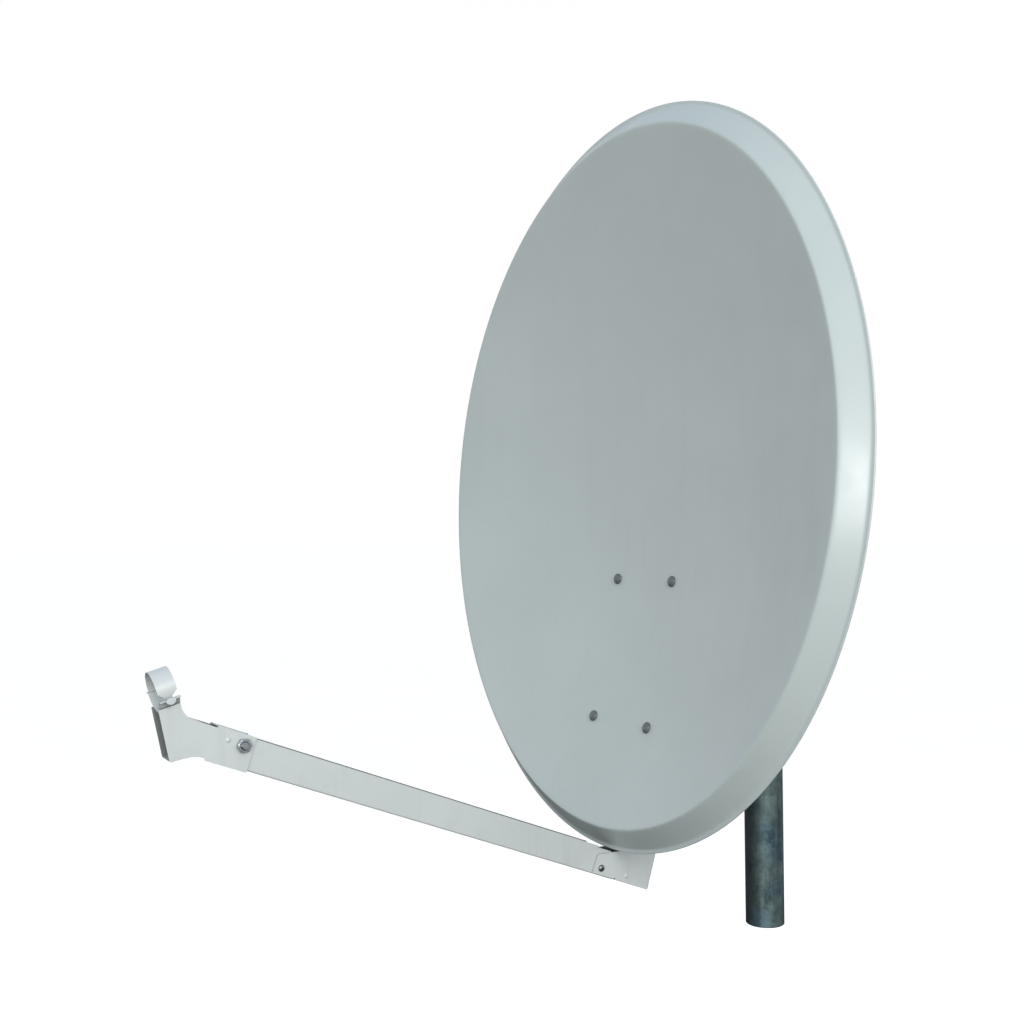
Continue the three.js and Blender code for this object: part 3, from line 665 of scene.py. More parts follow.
# ---- fasteners
def hexagon(across, height, start, axis, bore=0.0):
    """A nut, or a bolt's head without a bore, with the corners chamfered at both ends."""
    flat = across / 2 * 0.965
    u, v = basis(axis)
    axis = Vector(axis).normalized()

    def ring(radius, down, is_top):
        """A circle, or without a radius the six sides with their chamfer."""
        made = []
        for angle in circle(72):
            reach = across / 2 / cos(angle % (pi / 3) - pi / 6) if radius is None else radius
            fall = max(0.0, reach - flat) * tan(radians(30)) if radius is None else down
            level = height - fall if is_top else fall
            made.append(Vector(start) + axis * level + spoke(u, v, angle) * reach)
        return made

    half = [(bore, 0.7), (bore + 0.6, 0.0)] if bore else [(0.0, 0.0)]
    half += [(flat, 0.0), (None, None)]
    rings = [ring(*step, False) for step in half] + [ring(*step, True) for step in reversed(half)]
    return drop_flat(loft(rings, ends="loop" if bore else "open"))


def add_nut(name, size, start, axis, body, finish):
    """A nut for a thread of that size."""
    stand_in(name, hexagon(*NUT_SIZE[size], start, axis, size + 0.1), body, finish, 28)


def thread(size, length, start, axis, plain=0.0):
    """A threaded rod with a chamfered tip; the first stretch, plain, has no thread."""
    count, steps = 24, 6
    pitch = PITCH[size]
    depth = 0.55 * pitch
    u, v = basis(axis)
    axis = Vector(axis).normalized()
    heights = [0.0, plain] if plain else [0.0]
    turns = int((length - plain) / pitch * steps)
    heights += [plain + (i + 1) * pitch / steps for i in range(turns)]
    heights.append(length)
    rings = []
    for height in heights:
        ring = []
        for i, angle in enumerate(circle(count)):
            phase = ((height - plain) / pitch - i / count) % 1.0
            groove = depth * (1 - abs(2 * phase - 1)) if height > plain else 0.0
            radius = size - max(groove, (height - (length - 0.8)) * 0.9, 0.0)
            ring.append(Vector(start) + axis * height + spoke(u, v, angle) * radius)
        rings.append(ring)
    return loft(rings)


def washer(inner, outer, thick, start, axis):
    section = rounded(oblong(inner, outer, 0, thick), 0.35, 3)
    return turned(section + section[:1], start, axis, 64)


def cross_slot(centre, axis, reach, width, depth):
    """Two crossed blades that cut a screwdriver's recess down from a point."""
    axis = Vector(axis).normalized()
    u, v = basis(axis)
    corners = oblong(-reach, reach, -width, width)

    def ring(a, b, level, share):
        return [Vector(centre) + a * (p * share) + b * (q * share) + axis * level for p, q in corners]

    return [loft([ring(a, b, 1.0, 1.0), ring(a, b, -depth, 0.55)]) for a, b in ((u, v), (v, u))]


# ---- mast
def add_mast():
    inner = MAST_RADIUS - MAST_WALL
    section = [
        (inner, 0.6), (inner + 0.6, 0), (MAST_RADIUS - 0.5, 0), (MAST_RADIUS, 0.5),
        *[(MAST_RADIUS, MAST_TOP * k / 24) for k in range(1, 24)],
        (MAST_RADIUS, MAST_TOP - 0.5), (MAST_RADIUS - 0.5, MAST_TOP), (inner + 0.5, MAST_TOP),
        (inner, MAST_TOP - 0.5),
    ]
    tube = turned(section + section[:1], (0, 0, 0), ALONG_Z, 128)
    stand_in("mast_tube", tube, "mast", GALVANISED)

    bore = inner - GAP
    top = MAST_TOP + GAP
    rim = MAST_RADIUS
    profile = [
        (0, top - 12.4), (bore - 3.4, top - 12.4), (bore - 3, top - 14), (bore - 1, top - 14),
        (bore - 0.2, top - 12), (bore, top - 10), (bore, top), (rim - 0.3, top), (rim, top + 0.3),
        (rim, top + 1.0),
        *[(rim - 3 + 3 * cos(a), top + 1.0 + 2.6 * sin(a)) for a in (0.3, 0.6, 0.9, 1.2)],
        (rim - 5, top + 3.8), (9, top + 4.3), (3.2, top + 4.3), (2.8, top + 4.0), (0, top + 3.9),
    ]
    cap = turned(profile, (0, 0, 0), ALONG_Z, 96)
    stand_in("mast_cap", cap, "mast", CAP_PLASTIC, 40)


# ---- azimuth clamp and elevation mount
def add_mount():
    """A folded channel: its web is clamped to the mast, its two cheeks carry the frame."""
    front = PIVOT_Y - 25
    bend = WEB_Y + 5
    corner = 17
    across = 60
    outer, inner = MOUNT_HALF, MOUNT_HALF - PLATE
    section = [
        (-outer, front), (-outer, WEB_Y), (outer, WEB_Y), (outer, front),
        (inner, front), (inner, WEB_Y - PLATE), (-inner, WEB_Y - PLATE), (-inner, front),
    ]
    outline = rounded(section, [0, 5, 5, 0, 0, 2, 2, 0], 8)
    mount = prism(outline, MOUNT_BOTTOM, MOUNT_TOP, plan)
    cheek = [
        (bend, MOUNT_BOTTOM),
        *arc(PIVOT_Y, LOCK_Z, corner, -75, -180, 20),
        *about_pivot(corner, 180, 75, 20),
        (bend, MOUNT_TOP),
    ]
    mount = within(mount, prism(cheek, -across, across, side_view))
    holes = [
        cylinder(M8 + CLEARANCE, (-across, PIVOT_Y, z), ALONG_X, 2 * across) for z in (PIVOT_Z, LOCK_Z)
    ]
    holes.append(cylinder(15, (-across, -78, 397), ALONG_X, 2 * across, 64))
    holes.append(cylinder(16, (0, WEB_Y - 10, 401), ALONG_Y, 20, 64))
    for z in CLAMP_HEIGHTS.values():
        holes += [cylinder(M8 + CLEARANCE, (x, WEB_Y - 10, z), ALONG_Y, 20) for x in (-LEG_X, LEG_X)]
    stand_in("mount_bracket", eased(cut(mount, *holes), 0.5), "mast_mount", ARM_COAT)


def add_clamp_saddle(level, z):
    """A pressed channel whose jaws are cut to a toothed half round that bites on the mast."""
    back, tip = WEB_Y + GAP, -14
    high, sheet, half = 11.5, 2.5, 36
    inside = high - sheet
    teeth, tooth = 180, 1.3
    section = [
        (back, -high), (tip, -high), (tip, -inside), (back + sheet, -inside),
        (back + sheet, inside), (tip, inside), (tip, high), (back, high),
    ]
    outline = rounded(section, [4, 0, 0, 1.5, 1.5, 0, 0, 4], 6)
    saddle = prism([(y, z + up) for y, up in outline], -half, half, side_view)
    jaw = [
        (-half, back - 2), (half, back - 2), (half, -22), (half - 5, tip - 0.01),
        (5 - half, tip - 0.01), (-half, -22),
    ]
    saddle = within(saddle, prism(rounded(jaw, [0, 0, 3, 3, 3, 3], 5), z - 20, z + 20, plan))
    bite = []
    for i, angle in enumerate(circle(teeth)):
        radius = MAST_RADIUS + GAP + (tooth if i % 2 else 0.0)
        bite.append((radius * cos(angle), radius * sin(angle)))
    tools = [prism(bite, z - 25, z + 25, plan)]
    tools += [cylinder(M8 + CLEARANCE, (x, back - 5, z), ALONG_Y, 12) for x in (-LEG_X, LEG_X)]
    stand_in(f"clamp_saddle_{level}", eased(cut(saddle, *tools), 0.35), "mast_mount", ZINC)


def add_u_bolt(level, z):
    """A bent rod, threaded on both legs from the tip to a little short of the bend."""
    threaded_to = LEG_TIP + 26
    groove_depth = 0.65
    count, steps = 24, 6
    pitch = PITCH[M8]
    turns = int((threaded_to - LEG_TIP) / pitch * steps)
    ys = [LEG_TIP + i * pitch / steps for i in range(turns + 1)] + [threaded_to + 1, -15]
    stations = [(Vector((-LEG_X, y, z)), Vector((-1, 0, 0)), y) for y in ys]
    for angle in range(180, -1, -5):
        outward = Vector((cos(radians(angle)), sin(radians(angle)), 0))
        stations.append((outward * LEG_X + Vector((0, 0, z)), outward, 0.0))
    stations += [(Vector((LEG_X, y, z)), ALONG_X, y) for y in reversed(ys)]
    rings = []
    for centre, outward, y in stations:
        ring = []
        for i, angle in enumerate(circle(count)):
            phase = ((y - LEG_TIP) / pitch - i / count) % 1.0
            groove = groove_depth * (1 - abs(2 * phase - 1)) if y <= threaded_to else 0.0
            radius = M8 - max(groove, LEG_TIP + 0.8 - y, 0.0)
            ring.append(centre + spoke(outward, ALONG_Z, angle) * radius)
        rings.append(ring)
    stand_in(f"u_bolt_{level}", loft(rings), "mast_mount", ZINC, 50)
    for name, side in SIDES.items():
        start = (side * LEG_X, WEB_Y - PLATE - GAP, z)
        add_nut(f"u_bolt_nut_{level}_{name}", M8, start, -ALONG_Y, "mast_mount", ZINC)


def add_cheek_bolt(label, z):
    for name, side in SIDES.items():
        out = ALONG_X * side
        inner = (MOUNT_HALF - PLATE - GAP) * side
        outer = (FRAME_INNER + PLATE + GAP) * side
        head = hexagon(12.8, BOLT_HEAD, (inner - BOLT_HEAD * side, PIVOT_Y, z), out)
        shank = thread(M8, 23, (inner - 0.1 * side, PIVOT_Y, z), out, plain=6)
        stand_in(f"{label}_bolt_{name}", joined(head, shank), "mast_mount", ZINC, 28)
        ring = washer(M8 + 0.3, 10, WASHER_SHEET, (outer, PIVOT_Y, z), out)
        stand_in(f"{label}_washer_{name}", ring, "mast_mount", ZINC, 50)
        start = (outer + side * (WASHER_SHEET + GAP), PIVOT_Y, z)
        add_nut(f"{label}_nut_{name}", M8, start, out, "mast_mount", ZINC)


# ---- reflector
def smooth_max(a, b, blend):
    return (a + b + sqrt((a - b) ** 2 + blend**2)) / 2


def smooth_min(a, b, blend):
    return (a + b - sqrt((a - b) ** 2 + blend**2)) / 2


SKIRT_SLOPE = 0.911
SKIRT_START = -1.6
LIP_BACK = RIM_DEPTH - 1.1
EDGE_ROUND = 2.2
CREASE_ROUND = 1.0


def edge_place(angle, out):
    """A place across and up on the face, out from its edge's oval and square to it."""
    c, s = cos(angle), sin(angle)
    normal = Vector((FACE_B * c, FACE_A * s)).normalized()
    return FACE_A * c + out * normal.x, FACE_B * s + out * normal.y


def rim_point(angle, out, extra=0.0):
    """A point on the front skin near the face's edge."""
    x, up = edge_place(angle, out)
    skirt = (out - SKIRT_START) * SKIRT_SLOPE
    back = smooth_max(bowl_depth(x, up), skirt, EDGE_ROUND)
    back = smooth_min(back, LIP_BACK, CREASE_ROUND)
    return from_face(x, up, back + extra)


def add_reflector():
    """One pressed sheet: bowl, rounded edge, conical skirt, flat lip and a hem turned under it."""
    around = 288
    bowl_rings = 34
    # How far each ring of the rounded edge, skirt and lip lies out from the face's oval.
    outs = [
        -16, -12, -9, -7, -5.5, -4.5, -3.6, -2.9, -2.3, -1.8, -1.3, -0.8, -0.3, 0.3, 0.9, 1.6, 2.4, 3.4,
        5, 8, 12, 16, 19, 20.6, 21.4, 21.9, 22.4, 22.9, 23.4, 24.2, 25.2, 26.1,
    ]
    # The same for the hem's rings, with how far each lies behind the front skin.
    hem = [
        (26.6, 0.15), (26.9, 0.65), (26.9, 1.2), (26.6, 1.7), (26.0, 1.85), (24.2, 1.85), (22.8, 1.8),
        (22.5, 1.4),
    ]
    angles = circle(around)
    front = []
    for k in range(bowl_rings):
        share = k / bowl_rings
        ring = []
        for a in angles:
            x, up = (place * share for place in edge_place(a, outs[0]))
            ring.append(from_face(x, up, bowl_depth(x, up)))
        front.append(ring)
    front += [[rim_point(a, out) for a in angles] for out in outs]

    def shifted(ring_before, ring, ring_after):
        """The ring moved one sheet's thickness to the back."""
        made = []
        for i in range(around):
            along = ring_after[i] - ring_before[i]
            across = ring[(i + 1) % around] - ring[i - 1]
            normal = across.cross(along).normalized()
            if normal.y < 0:
                normal = -normal
            made.append(ring[i] + normal * SHEET)
        return made

    behind = [[from_face(0, 0, bowl_depth(0, 0) + SHEET)] * around]
    for k in range(1, len(front)):
        after = front[min(k + 1, len(front) - 1)]
        behind.append(shifted(front[k - 1], front[k], after))
    hem_rings = [[rim_point(a, out, extra) for a in angles] for out, extra in hem]
    # The hem takes the place of the last rings behind the lip.
    skin = loft([*front, *hem_rings, *reversed(behind[:-5])], ends="open")
    stand_in("reflector", drop_flat(skin), "dish", DISH_COAT, 50)


def add_dish_bolts():
    head_radius, rise = 6.9, 3.1
    dome = [(head_radius * sin(t * pi / 16), -0.9 - rise * cos(t * pi / 16)) for t in range(1, 9)]
    head = [(0, -4), *dome, (head_radius, -0.3), (6.6, 0), (0, 0)]
    for row, label, front, axis in BOLT_PLACES:
        reach = SHEET + BASE_REAR + (BRACKET_SHEET + GAP if row == "lower" else 0)
        start = front - axis * 0.6
        shank = thread(M6, reach + 8.7, start - axis * 0.5, axis, plain=reach - 3)
        bolt = joined(turned(head, start, axis, 64), shank)
        stand_in(f"dish_bolt_{label}", bolt, "dish", SHADED_BOLT_COAT, 40)
        add_nut(f"dish_nut_{label}", M6, front + axis * (reach + 0.9), axis, "dish", ZINC)


# ---- rear frame
def frame_cheek(side):
    outline = [
        on_plate(17, BASE_REAR - 1),
        *about_pivot(LOCK_RADIUS + 14, -110, -54, 28),
        *about_pivot(22, -20, 100, 28),
        on_plate(205, BASE_REAR - 1),
    ]
    low, high = sorted((FRAME_INNER * side, (FRAME_INNER + PLATE) * side))
    cheek = prism(outline, low, high, side_view)
    width = M8 + CLEARANCE
    first, last = -90 - ELEVATION_DOWN, -90 + ELEVATION_UP
    near, far = (about_pivot(LOCK_RADIUS, end, end, 1)[0] for end in (first, last))
    slot = about_pivot(LOCK_RADIUS + width, first, last, 30)[:-1]
    slot += arc(*far, width, last, last + 180, 14)
    slot += about_pivot(LOCK_RADIUS - width, last, first, 30)[1:-1]
    slot += arc(*near, width, first - 180, first, 14)[:-1]
    tools = [
        cylinder(M8 + CLEARANCE, (low - 5, PIVOT_Y, PIVOT_Z), ALONG_X, 13),
        prism(slot, low - 5, high + 5, side_view),
        cylinder(17, (low - 5, PIVOT_Y - 30, PIVOT_Z - 38), ALONG_X, 13, 64),
    ]
    return cut(cheek, *tools)


def weld_bead(x, up_from, up_to):
    """A rippled fillet weld where a cheek stands on the base plate."""
    rings = []
    count = int((up_to - up_from) / 0.7)
    for k in range(count + 1):
        share = k / count
        up = up_from + (up_to - up_from) * share
        swell = 1.9 + 0.35 * sin(k * 1.4) + 0.2 * sin(k * 0.37)
        radius = swell * sqrt(max(0.0, 1 - (2 * share - 1) ** 8)) + 0.02
        ring = []
        for i in range(14):
            a = 2 * pi * i / 14
            lift = BASE_REAR + radius * sin(a)
            ring.append(frame_plate(x + radius * cos(a), up + 0.35 * sin(a), lift))
        rings.append(ring)
    return loft(rings)


def pressed_rib(x, up_from, up_to):
    """A long rounded bead pressed out of the plate's back to stiffen it."""
    half, height = 5.0, 2.2
    rings = []
    for k in range(25):
        share = k / 24
        up = up_from + (up_to - up_from) * (0.5 - 0.5 * cos(pi * share))
        ends = sqrt(max(0.0, 1 - (2 * (up - up_from) / (up_to - up_from) - 1) ** 16)) + 0.01
        ring = []
        for i in range(17):
            t = i / 16
            rise = sin(pi * t) ** 1.5 * height * ends
            ring.append(frame_plate(x + half * ends * (2 * t - 1), up, BASE_REAR + rise))
        ring.append(frame_plate(x + half * ends * 0.9, up, BASE_REAR - 1.2))
        ring.append(frame_plate(x - half * ends * 0.9, up, BASE_REAR - 1.2))
        rings.append(ring)
    return loft(rings)


def add_frame():
    plate = rounded(oblong(-75, 75, -36, 209), 12, 8)
    window = rounded(oblong(-28, 28, 42, 150), 10, 8)
    base = prism(plate, STAND_OFF, BASE_REAR, frame_plate)
    base = cut(base, prism(window, STAND_OFF - 5, BASE_REAR + 5, frame_plate))
    top = STAND_OFF + 0.5
    cone = [(0, 0), (9.5, 0), (10.2, 0.5), (12, STAND_OFF - 1.5), (13, top), (0, top)]
    bosses = []
    holes = []
    for _, _, front, axis in BOLT_PLACES:
        bosses.append(turned(cone, front + axis * (SHEET + 0.6), axis, 48))
        holes.append(cylinder(M6 + CLEARANCE, front, axis, 24, 32))
    ribs = [pressed_rib(side * 61, 18, 152) for side in (-1, 1)]
    base = fuse(base, *[frame_cheek(side) for side in (-1, 1)], *bosses, *ribs)
    stand_in("rear_frame", eased(cut(base, *holes), 0.45), "dish", ARM_COAT)

    beads = []
    for side in (-1, 1):
        x = side * (FRAME_INNER + PLATE + 0.4)
        beads += [weld_bead(x, a, b) for a, b in ((24, 62), (92, 122), (158, 196))]
    piece("frame_weld_beads", joined(*beads), "dish", ARM_COAT, angle=60)
    add_scale()


def add_scale():
    """A degree scale beside the elevation slot: short and long marks, without figures."""
    marks = []
    for side in (-1, 1):
        face = (FRAME_INNER + PLATE) * side
        low, high = sorted((face - 0.05 * side, face + 0.12 * side))
        for step in range(ELEVATION_DOWN + ELEVATION_UP + 1):
            angle = -90 - ELEVATION_DOWN + step
            length, wide = (4.6, 0.34) if step % 5 == 0 else (2.6, 0.22)
            inner = LOCK_RADIUS + 6.6
            outer = inner + length
            corners = []
            for radius, turn in ((inner, -1), (outer, -1), (outer, 1), (inner, 1)):
                offset = degrees(turn * wide / 2 / radius)
                corners += about_pivot(radius, angle + offset, angle + offset, 1)[:1]
            marks.append(prism(corners, low, high, side_view))
    piece("elevation_scale_marks", joined(*marks), "dish", INK)


# ---- feed arm bracket
def dimple(side, along, up):
    """A small round dome pressed out of a side plate."""
    return turned(DIMPLE, arm_side(along, up, side * CHEEK_OUT), ALONG_X * side, 32)


def through_arm(size, along, up):
    """The tool for a bolt's hole across the arm."""
    return cylinder(size + CLEARANCE, arm_side(along, up, -20), ALONG_X, 40)


def add_arm_bracket():
    under = 130.7
    points = [
        from_arm(-78, -9), from_arm(-24.5, -9), from_arm(-24.5, -6.5), from_arm(-22.5, -6.5),
        from_arm(-22, -8), from_arm(10.5, -8), from_arm(10.5, 14), (HINGE_Y + 34, under),
        (HINGE_Y + 36, under + 4), (HINGE_Y + 37, 160), on_plate(-20, BASE_REAR + 1.3),
        on_plate(14, BASE_REAR + 1.3), on_plate(13, BASE_REAR + 14), (-194, 270), (-186, 215),
        (-184, 150), (-188, 120),
    ]
    rear = [12, 13, 14, 15, 16, 0]

    def fold_test(outline, half):
        def is_fold(corner):
            near = any((Vector(outline[i]) - Vector((corner.y, corner.z))).length < 0.05 for i in rear)
            return near and abs(abs(corner.x) - half) < 0.05
        return is_fold

    outer = folded(prism(points, -CHEEK_OUT, CHEEK_OUT, side_view), fold_test(points, CHEEK_OUT), 3.4)
    lift = [-6] * 6 + [4] * 2 + [0] * (len(points) - 8)
    hollow_points = [(y - BRACKET_SHEET, z + lift[i]) for i, (y, z) in enumerate(points)]
    hollow = folded(
        prism(hollow_points, -CHEEK_IN, CHEEK_IN, side_view), fold_test(hollow_points, CHEEK_IN), 1.8
    )
    bracket = cut(outer, hollow)
    out = BASE_REAR + GAP
    foot = rounded(oblong(-72, 72, -20, 14), 9, 8)
    parts = [prism(foot, out, out + BRACKET_SHEET, frame_plate)]
    for low, high in ((-CHEEK_OUT, -7), (7, CHEEK_OUT)):
        parts.append(prism(oblong(-76, -25, -9, -7.5), low, high, arm_side))
    parts += [dimple(side, -39.3, -0.6) for side in (-1, 1)]
    bracket = fuse(bracket, *parts)
    holes = [cylinder(M6 + CLEARANCE, (-30, HINGE_Y, HINGE_Z), ALONG_X, 60)]
    for row, _, front, axis in BOLT_PLACES:
        if row == "lower":
            holes.append(cylinder(M6 + CLEARANCE, front, axis, 40))
    stand_in("arm_bracket", eased(cut(bracket, *holes), 0.35), "dish", CHANNEL_COAT)

    head = [(0, -2.2), (1.6, -2.15), (2.8, -1.85), (3.7, -1.2), (4.15, -0.4), (4.2, 0), (0, 0)]
    start = Vector((CHEEK_OUT + GAP, HINGE_Y, HINGE_Z))
    reach = 2 * CHEEK_OUT + GAP
    blades = cross_slot(start + ALONG_X * 2.2, ALONG_X, 2.3, 0.5, 1.5)
    screw = cut(turned(head, start, -ALONG_X, 48), *blades)
    shank = thread(M6, reach + 8.7, start + ALONG_X * 0.4, -ALONG_X, plain=reach - 4)
    stand_in("arm_screw", joined(screw, shank), "dish", DARK_ZINC, 35)
    add_nut("arm_screw_nut", M6, (-CHEEK_OUT - GAP, HINGE_Y, HINGE_Z), -ALONG_X, "dish", ZINC)


# ---- feed arm and converter holder
def add_arm():
    inner, floor = ARM_HALF - ARM_SHEET, ARM_BOTTOM + ARM_SHEET
    section = [
        (-ARM_HALF, ARM_BOTTOM), (ARM_HALF, ARM_BOTTOM), (ARM_HALF, ARM_TOP), (inner, ARM_TOP),
        (inner, floor), (-inner, floor), (-inner, ARM_TOP), (-ARM_HALF, ARM_TOP),
    ]
    section = rounded(section, [1.9, 1.9, 0, 0, 0.6, 0.6, 0, 0], 8)
    channel = prism(section, ARM_TAIL, ARM_TIP, arm_section)
    tail = [
        (12, 22.3), (12, 30), (ARM_TAIL - 8, 30), (ARM_TAIL - 8, ARM_BOTTOM - 1),
        (ARM_TAIL, ARM_BOTTOM + 0.5), (-10.5, 20), (-8, 22.3),
    ]
    tools = [prism(tail, -20, 20, arm_side), through_arm(M6, 0, 0), through_arm(M8, *HOLDER_BOLT)]
    stand_in("feed_arm", eased(cut(channel, *tools), 0.3), "feed_arm", CHANNEL_COAT)


def holder_half(side):
    """One side plate of the holder, its edges turned in over and under the arm and along the foot."""
    saddle_foot = -(NECK_RADIUS + SADDLE_SHEET + 0.2) * 0.77
    top, bottom = HOLDER_TOP, HOLDER_BOTTOM
    step = top - 2
    corners = [
        ((467, bottom), 1.5), ((469, top), 1.0), ((511.5, top), 0.4), ((512.5, step), 0.4),
        ((543, step), 12), ((551.4, 28.4), 12), ((555, 32), 8),
        (on_collar(saddle_foot, -10.4), 1.2), (on_collar(saddle_foot, 12.6), 1.2),
        ((546.5, -22.7), 2.0), ((536, -16), 12), ((528, -11.5), 14), ((520, -9.2), 10),
        ((514.5, -8.8), 1.5), ((512, bottom), 1.0),
    ]
    outline = rounded(*zip(*corners), 7)

    def plate(points, near, far):
        return prism(points, *sorted((near * side, far * side)), arm_side)

    sheet = ARM_SHEET
    neck = [
        (530, step - sheet), (543.4, step - sheet), (552.6, 27.4), (556.6, 31.3),
        (553, 34.5), (549, 32), (541, 28), (530, 28),
    ]
    foot = [(549.5, -22.8), (536.8, -14.7), (534.4, -18.5), (546, -28), (551, -26)]
    parts = [
        plate(oblong(473, 511, top - sheet, top), 6.5, CHEEK_OUT),
        plate(oblong(470, 511, bottom, bottom + sheet), 8, CHEEK_OUT),
    ]
    for strip in (neck, foot):
        turned_in = plate(outline, GAP + 0.1, CHEEK_IN + 0.6)
        parts.append(within(turned_in, prism(strip, -20, 20, arm_side)))
    half = fuse(plate(outline, CHEEK_IN, CHEEK_OUT), *parts)

    def is_fold(corner):
        along, up = to_arm(corner)
        level = min(abs(up - top), abs(up - bottom))
        return level < 0.05 and abs(abs(corner.x) - CHEEK_OUT) < 0.05 and 466 < along < 511.2

    half = folded(half, is_fold, 1.3, 4)
    half = fuse(half, dimple(side, 497.4, 15.2))
    return cut(half, through_arm(M8, *HOLDER_BOLT))


def add_holder():
    for name, side in SIDES.items():
        stand_in(f"holder_{name}", eased(holder_half(side), 0.3), "feed_arm", CHANNEL_COAT)
    reach = 2 * CHEEK_OUT + GAP
    start = arm_side(*HOLDER_BOLT, -CHEEK_OUT - GAP)
    head = [(0, -3.2), (2.5, -3.1), (5, -2.6), (6.8, -1.7), (7.8, -0.6), (8, 0), (0, 0)]
    shank = thread(M8, reach + 10, start - ALONG_X * 0.5, ALONG_X, plain=reach - 4)
    bolt = joined(turned(head, start, ALONG_X, 64), shank)
    stand_in("holder_bolt", bolt, "feed_arm", GREY_ZINC, 35)
    start = arm_side(*HOLDER_BOLT, CHEEK_OUT + GAP)
    add_nut("holder_nut", M8, start, ALONG_X, "feed_arm", GREY_ZINC)


# ---- neck collar
def add_saddle():
    inner, outer = NECK_RADIUS, NECK_RADIUS + SADDLE_SHEET
    near_under, far_under = EAR_NEAR - SADDLE_SHEET, EAR_FAR - SADDLE_SHEET
    band = [
        *arc(0, 0, outer, -180 - angle_at(far_under, outer), angle_at(near_under, outer), 72),
        (EAR_EDGE, near_under),
        (EAR_EDGE, EAR_NEAR),
        *arc(0, 0, inner, angle_at(EAR_NEAR, inner), -180 - angle_at(EAR_FAR, inner), 72),
        (FAR_EAR_EDGE, EAR_FAR),
        (FAR_EAR_EDGE, far_under),
    ]
    saddle = prism(band, -SADDLE_HALF, SADDLE_HALF, collar_section)
    slot = oblong(-25.6, -21.95, EAR_FAR - 3, 0)
    saddle = cut(saddle, prism(slot, -8, 8, collar_section))
    stand_in("lnb_saddle", eased(saddle, 0.25), "feed_arm", ARM_COAT)


def add_strap():
    """A band hooked into the far ear; its near end is a tongue with a round tab turned down."""
    inner = NECK_RADIUS + 0.1
    outer = inner + STRAP_SHEET
    tongue = EAR_NEAR + 0.4
    tongue_top = tongue + STRAP_SHEET
    hook = EAR_FAR + 0.4
    hook_top = hook + STRAP_SHEET
    tab_back = EAR_EDGE + GAP
    tab_front = tab_back + STRAP_SHEET
    turn_down = arc(tab_back - 0.4, tongue - 0.4, 1.2, 90, 0, 6)
    band = [
        *arc(0, 0, outer, angle_at(tongue_top, outer), 180 - angle_at(hook_top, outer), 72),
        (HOOK_X - 0.4, hook_top), (HOOK_X - 0.4, EAR_FAR - 1.4), (HOOK_X + 0.4, EAR_FAR - 1.4),
        (HOOK_X + 0.4, hook),
        *arc(0, 0, inner, 180 - angle_at(hook, inner), angle_at(tongue, inner), 72),
        (tab_back, tongue), (tab_back, tongue - 0.4), *reversed(turn_down),
    ]
    strap = prism(band, -STRAP_HALF, STRAP_HALF, collar_section)
    tools = []
    for side in (-1, 1):
        beside = [
            (-0.5, STRAP_HALF), (-3.9, STRAP_HALF * 0.62), (-5.9, TONGUE_HALF + 0.7),
            (tongue_top, TONGUE_HALF), (-12, TONGUE_HALF), (-12, 20), (-0.5, 20),
        ]
        tools.append(prism([(side * forward, up) for up, forward in beside], 10, 30, collar_side))
        low, high = sorted((7.4 * side, 12 * side))
        tools.append(prism(oblong(-30, -22.2, -12, 0), low, high, collar_section))
    strap = cut(strap, *tools)
    tab = [
        (-TONGUE_HALF, tongue_top - 0.8),
        (TONGUE_HALF, tongue_top - 0.8),
        *[(f, up) for up, f in arc(EAR_NEAR, 0, TAB_RADIUS, 90, 270, 40)],
    ]
    strap = fuse(strap, prism(tab, tab_back, tab_front, collar_side))
    stand_in("clamp_strap", eased(strap, 0.16), "clamp_strap", ARM_COAT)


# ---- floor, light and camera
def add_stage():
    """A wide pale floor well below the mast's cut end; it doesn't throw light back up."""
    size, level = 400.0, -1.0
    floor_mesh = bpy.data.meshes.new("floor")
    corners = [(-size, -size, level), (size, -size, level), (size, size, level), (-size, size, level)]
    floor_mesh.from_pydata(corners, [], [(0, 1, 2, 3)])
    floor = placed("floor", floor_mesh)
    material, _, shader, place = started("pale_floor")
    cloud = ranged(noise(place, 1.2, 3.0), 0.3, 0.7)
    adjusted(
        shader, Base_Color=mixed(cloud, (0.86, 0.86, 0.86), (0.88, 0.88, 0.88)), Roughness=0.9,
        Emission_Color=(1.0, 0.88, 0.70, 1), Emission_Strength=0.40, Specular_IOR_Level=0.1,
    )
    floor_mesh.materials.append(material)
    floor.visible_diffuse = False
    floor.visible_glossy = False


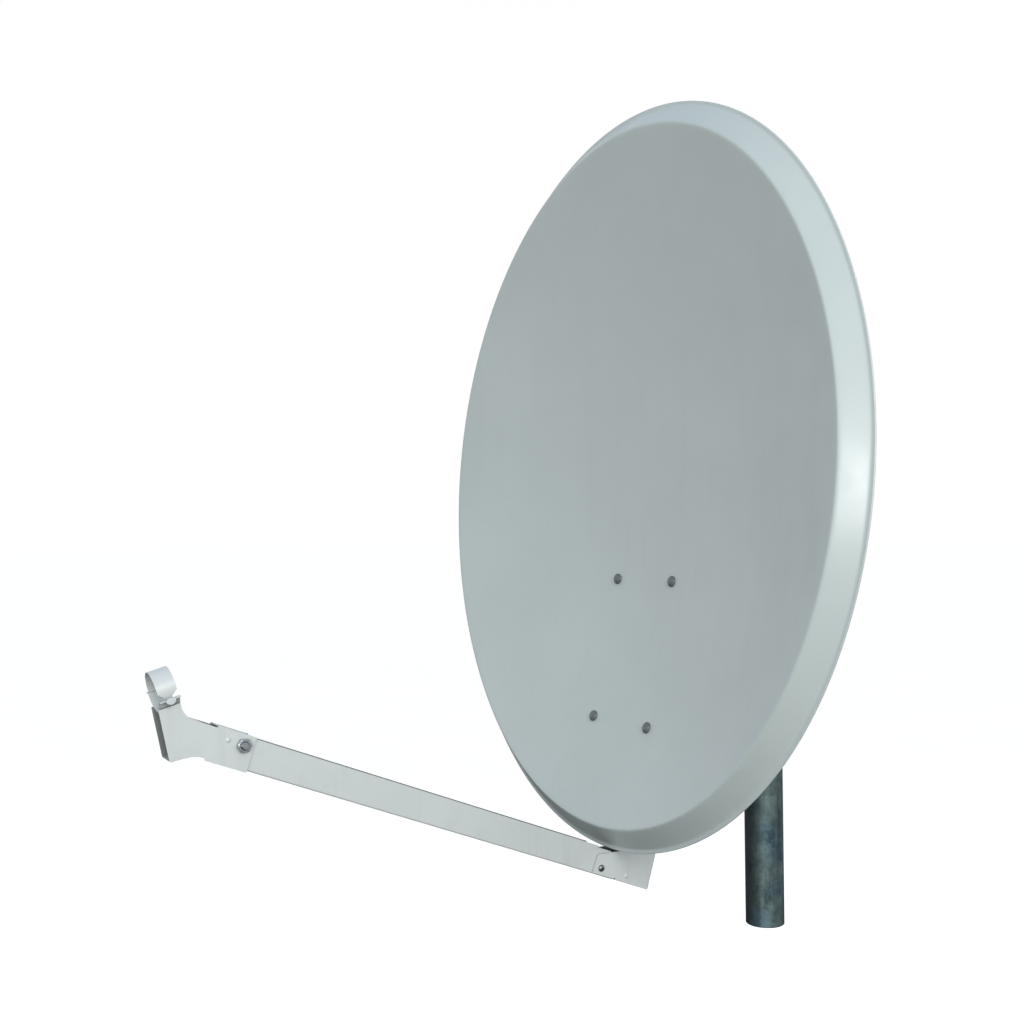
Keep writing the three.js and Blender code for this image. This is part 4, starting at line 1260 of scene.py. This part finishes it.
def add_sky():
    """White above the horizon and a little blue overhead, with a dim ground below it."""
    world = bpy.data.worlds.new("soft_sky")
    bpy.context.scene.world = world
    world.use_nodes = True
    tree = world.node_tree
    height = parts_of(node(tree, "ShaderNodeTexCoord").outputs["Generated"])["Z"]
    sky = mixed(ranged(height, 0.4, 0.85), (1.0, 1.0, 1.0), (0.44, 0.57, 0.75))
    below = ranged(height, -0.16, -0.05, 1.0, 0.0)
    colour = mixed(below, sky, (0.10, 0.11, 0.115))
    adjusted(tree.nodes["Background"], Color=colour, Strength=1.0)


def add_light(name, place, target, size, power, colour):
    data = bpy.data.lights.new(name, "AREA")
    data.shape = "DISK"
    data.size = size
    data.energy = power
    data.color = colour
    lamp = placed(name, data)
    lamp.location = place
    lamp.rotation_mode = "QUATERNION"
    lamp.rotation_quaternion = (Vector(target) - Vector(place)).to_track_quat("-Z", "Y")
    lamp.visible_camera = False


def add_camera():
    """The camera looks along a nearly level line from the front right of the dish."""
    data = bpy.data.cameras.new("camera")
    data.lens = 42.317
    data.sensor_width = 36
    data.clip_start, data.clip_end = 0.02, 200
    camera = placed("camera", data)
    azimuth, elevation, roll = (radians(v) for v in (60.542, -1.045, -0.504))
    right = Vector((cos(azimuth), sin(azimuth), 0))
    level = cos(elevation)
    back = Vector((sin(azimuth) * level, -cos(azimuth) * level, sin(elevation)))
    up = back.cross(right)
    c, s = cos(roll), sin(roll)
    right, up = right * c + up * s, up * c - right * s
    turn = Matrix((right, up, back)).transposed().to_4x4()
    camera.matrix_world = Matrix.Translation((1.2410, -1.0825, 0.5199)) @ turn
    bpy.context.scene.camera = camera


add_camera()
add_mast()
add_mount()
for clamp_level, clamp_z in CLAMP_HEIGHTS.items():
    add_clamp_saddle(clamp_level, clamp_z)
    add_u_bolt(clamp_level, clamp_z)
add_cheek_bolt("pivot", PIVOT_Z)
add_cheek_bolt("lock", LOCK_Z)
add_reflector()
add_dish_bolts()
add_frame()
add_arm_bracket()
add_arm()
add_holder()
add_saddle()
add_strap()
add_stage()
add_sky()
add_light("key", (2.98, -1.04, 1.42), (0, -0.35, 0.5), 1.4, 62, (1.0, 0.99, 0.97))
add_light("edge", (1.95, -2.05, 0.66), (0.4, -0.25, 0.55), 0.5, 22, (1.0, 1.0, 1.0))
add_light("rear_fill", (-2.2, 2.6, 1.9), (0, -0.2, 0.5), 1.6, 36, (0.97, 0.98, 1.0))
bpy.context.scene.view_settings.view_transform = "Standard"
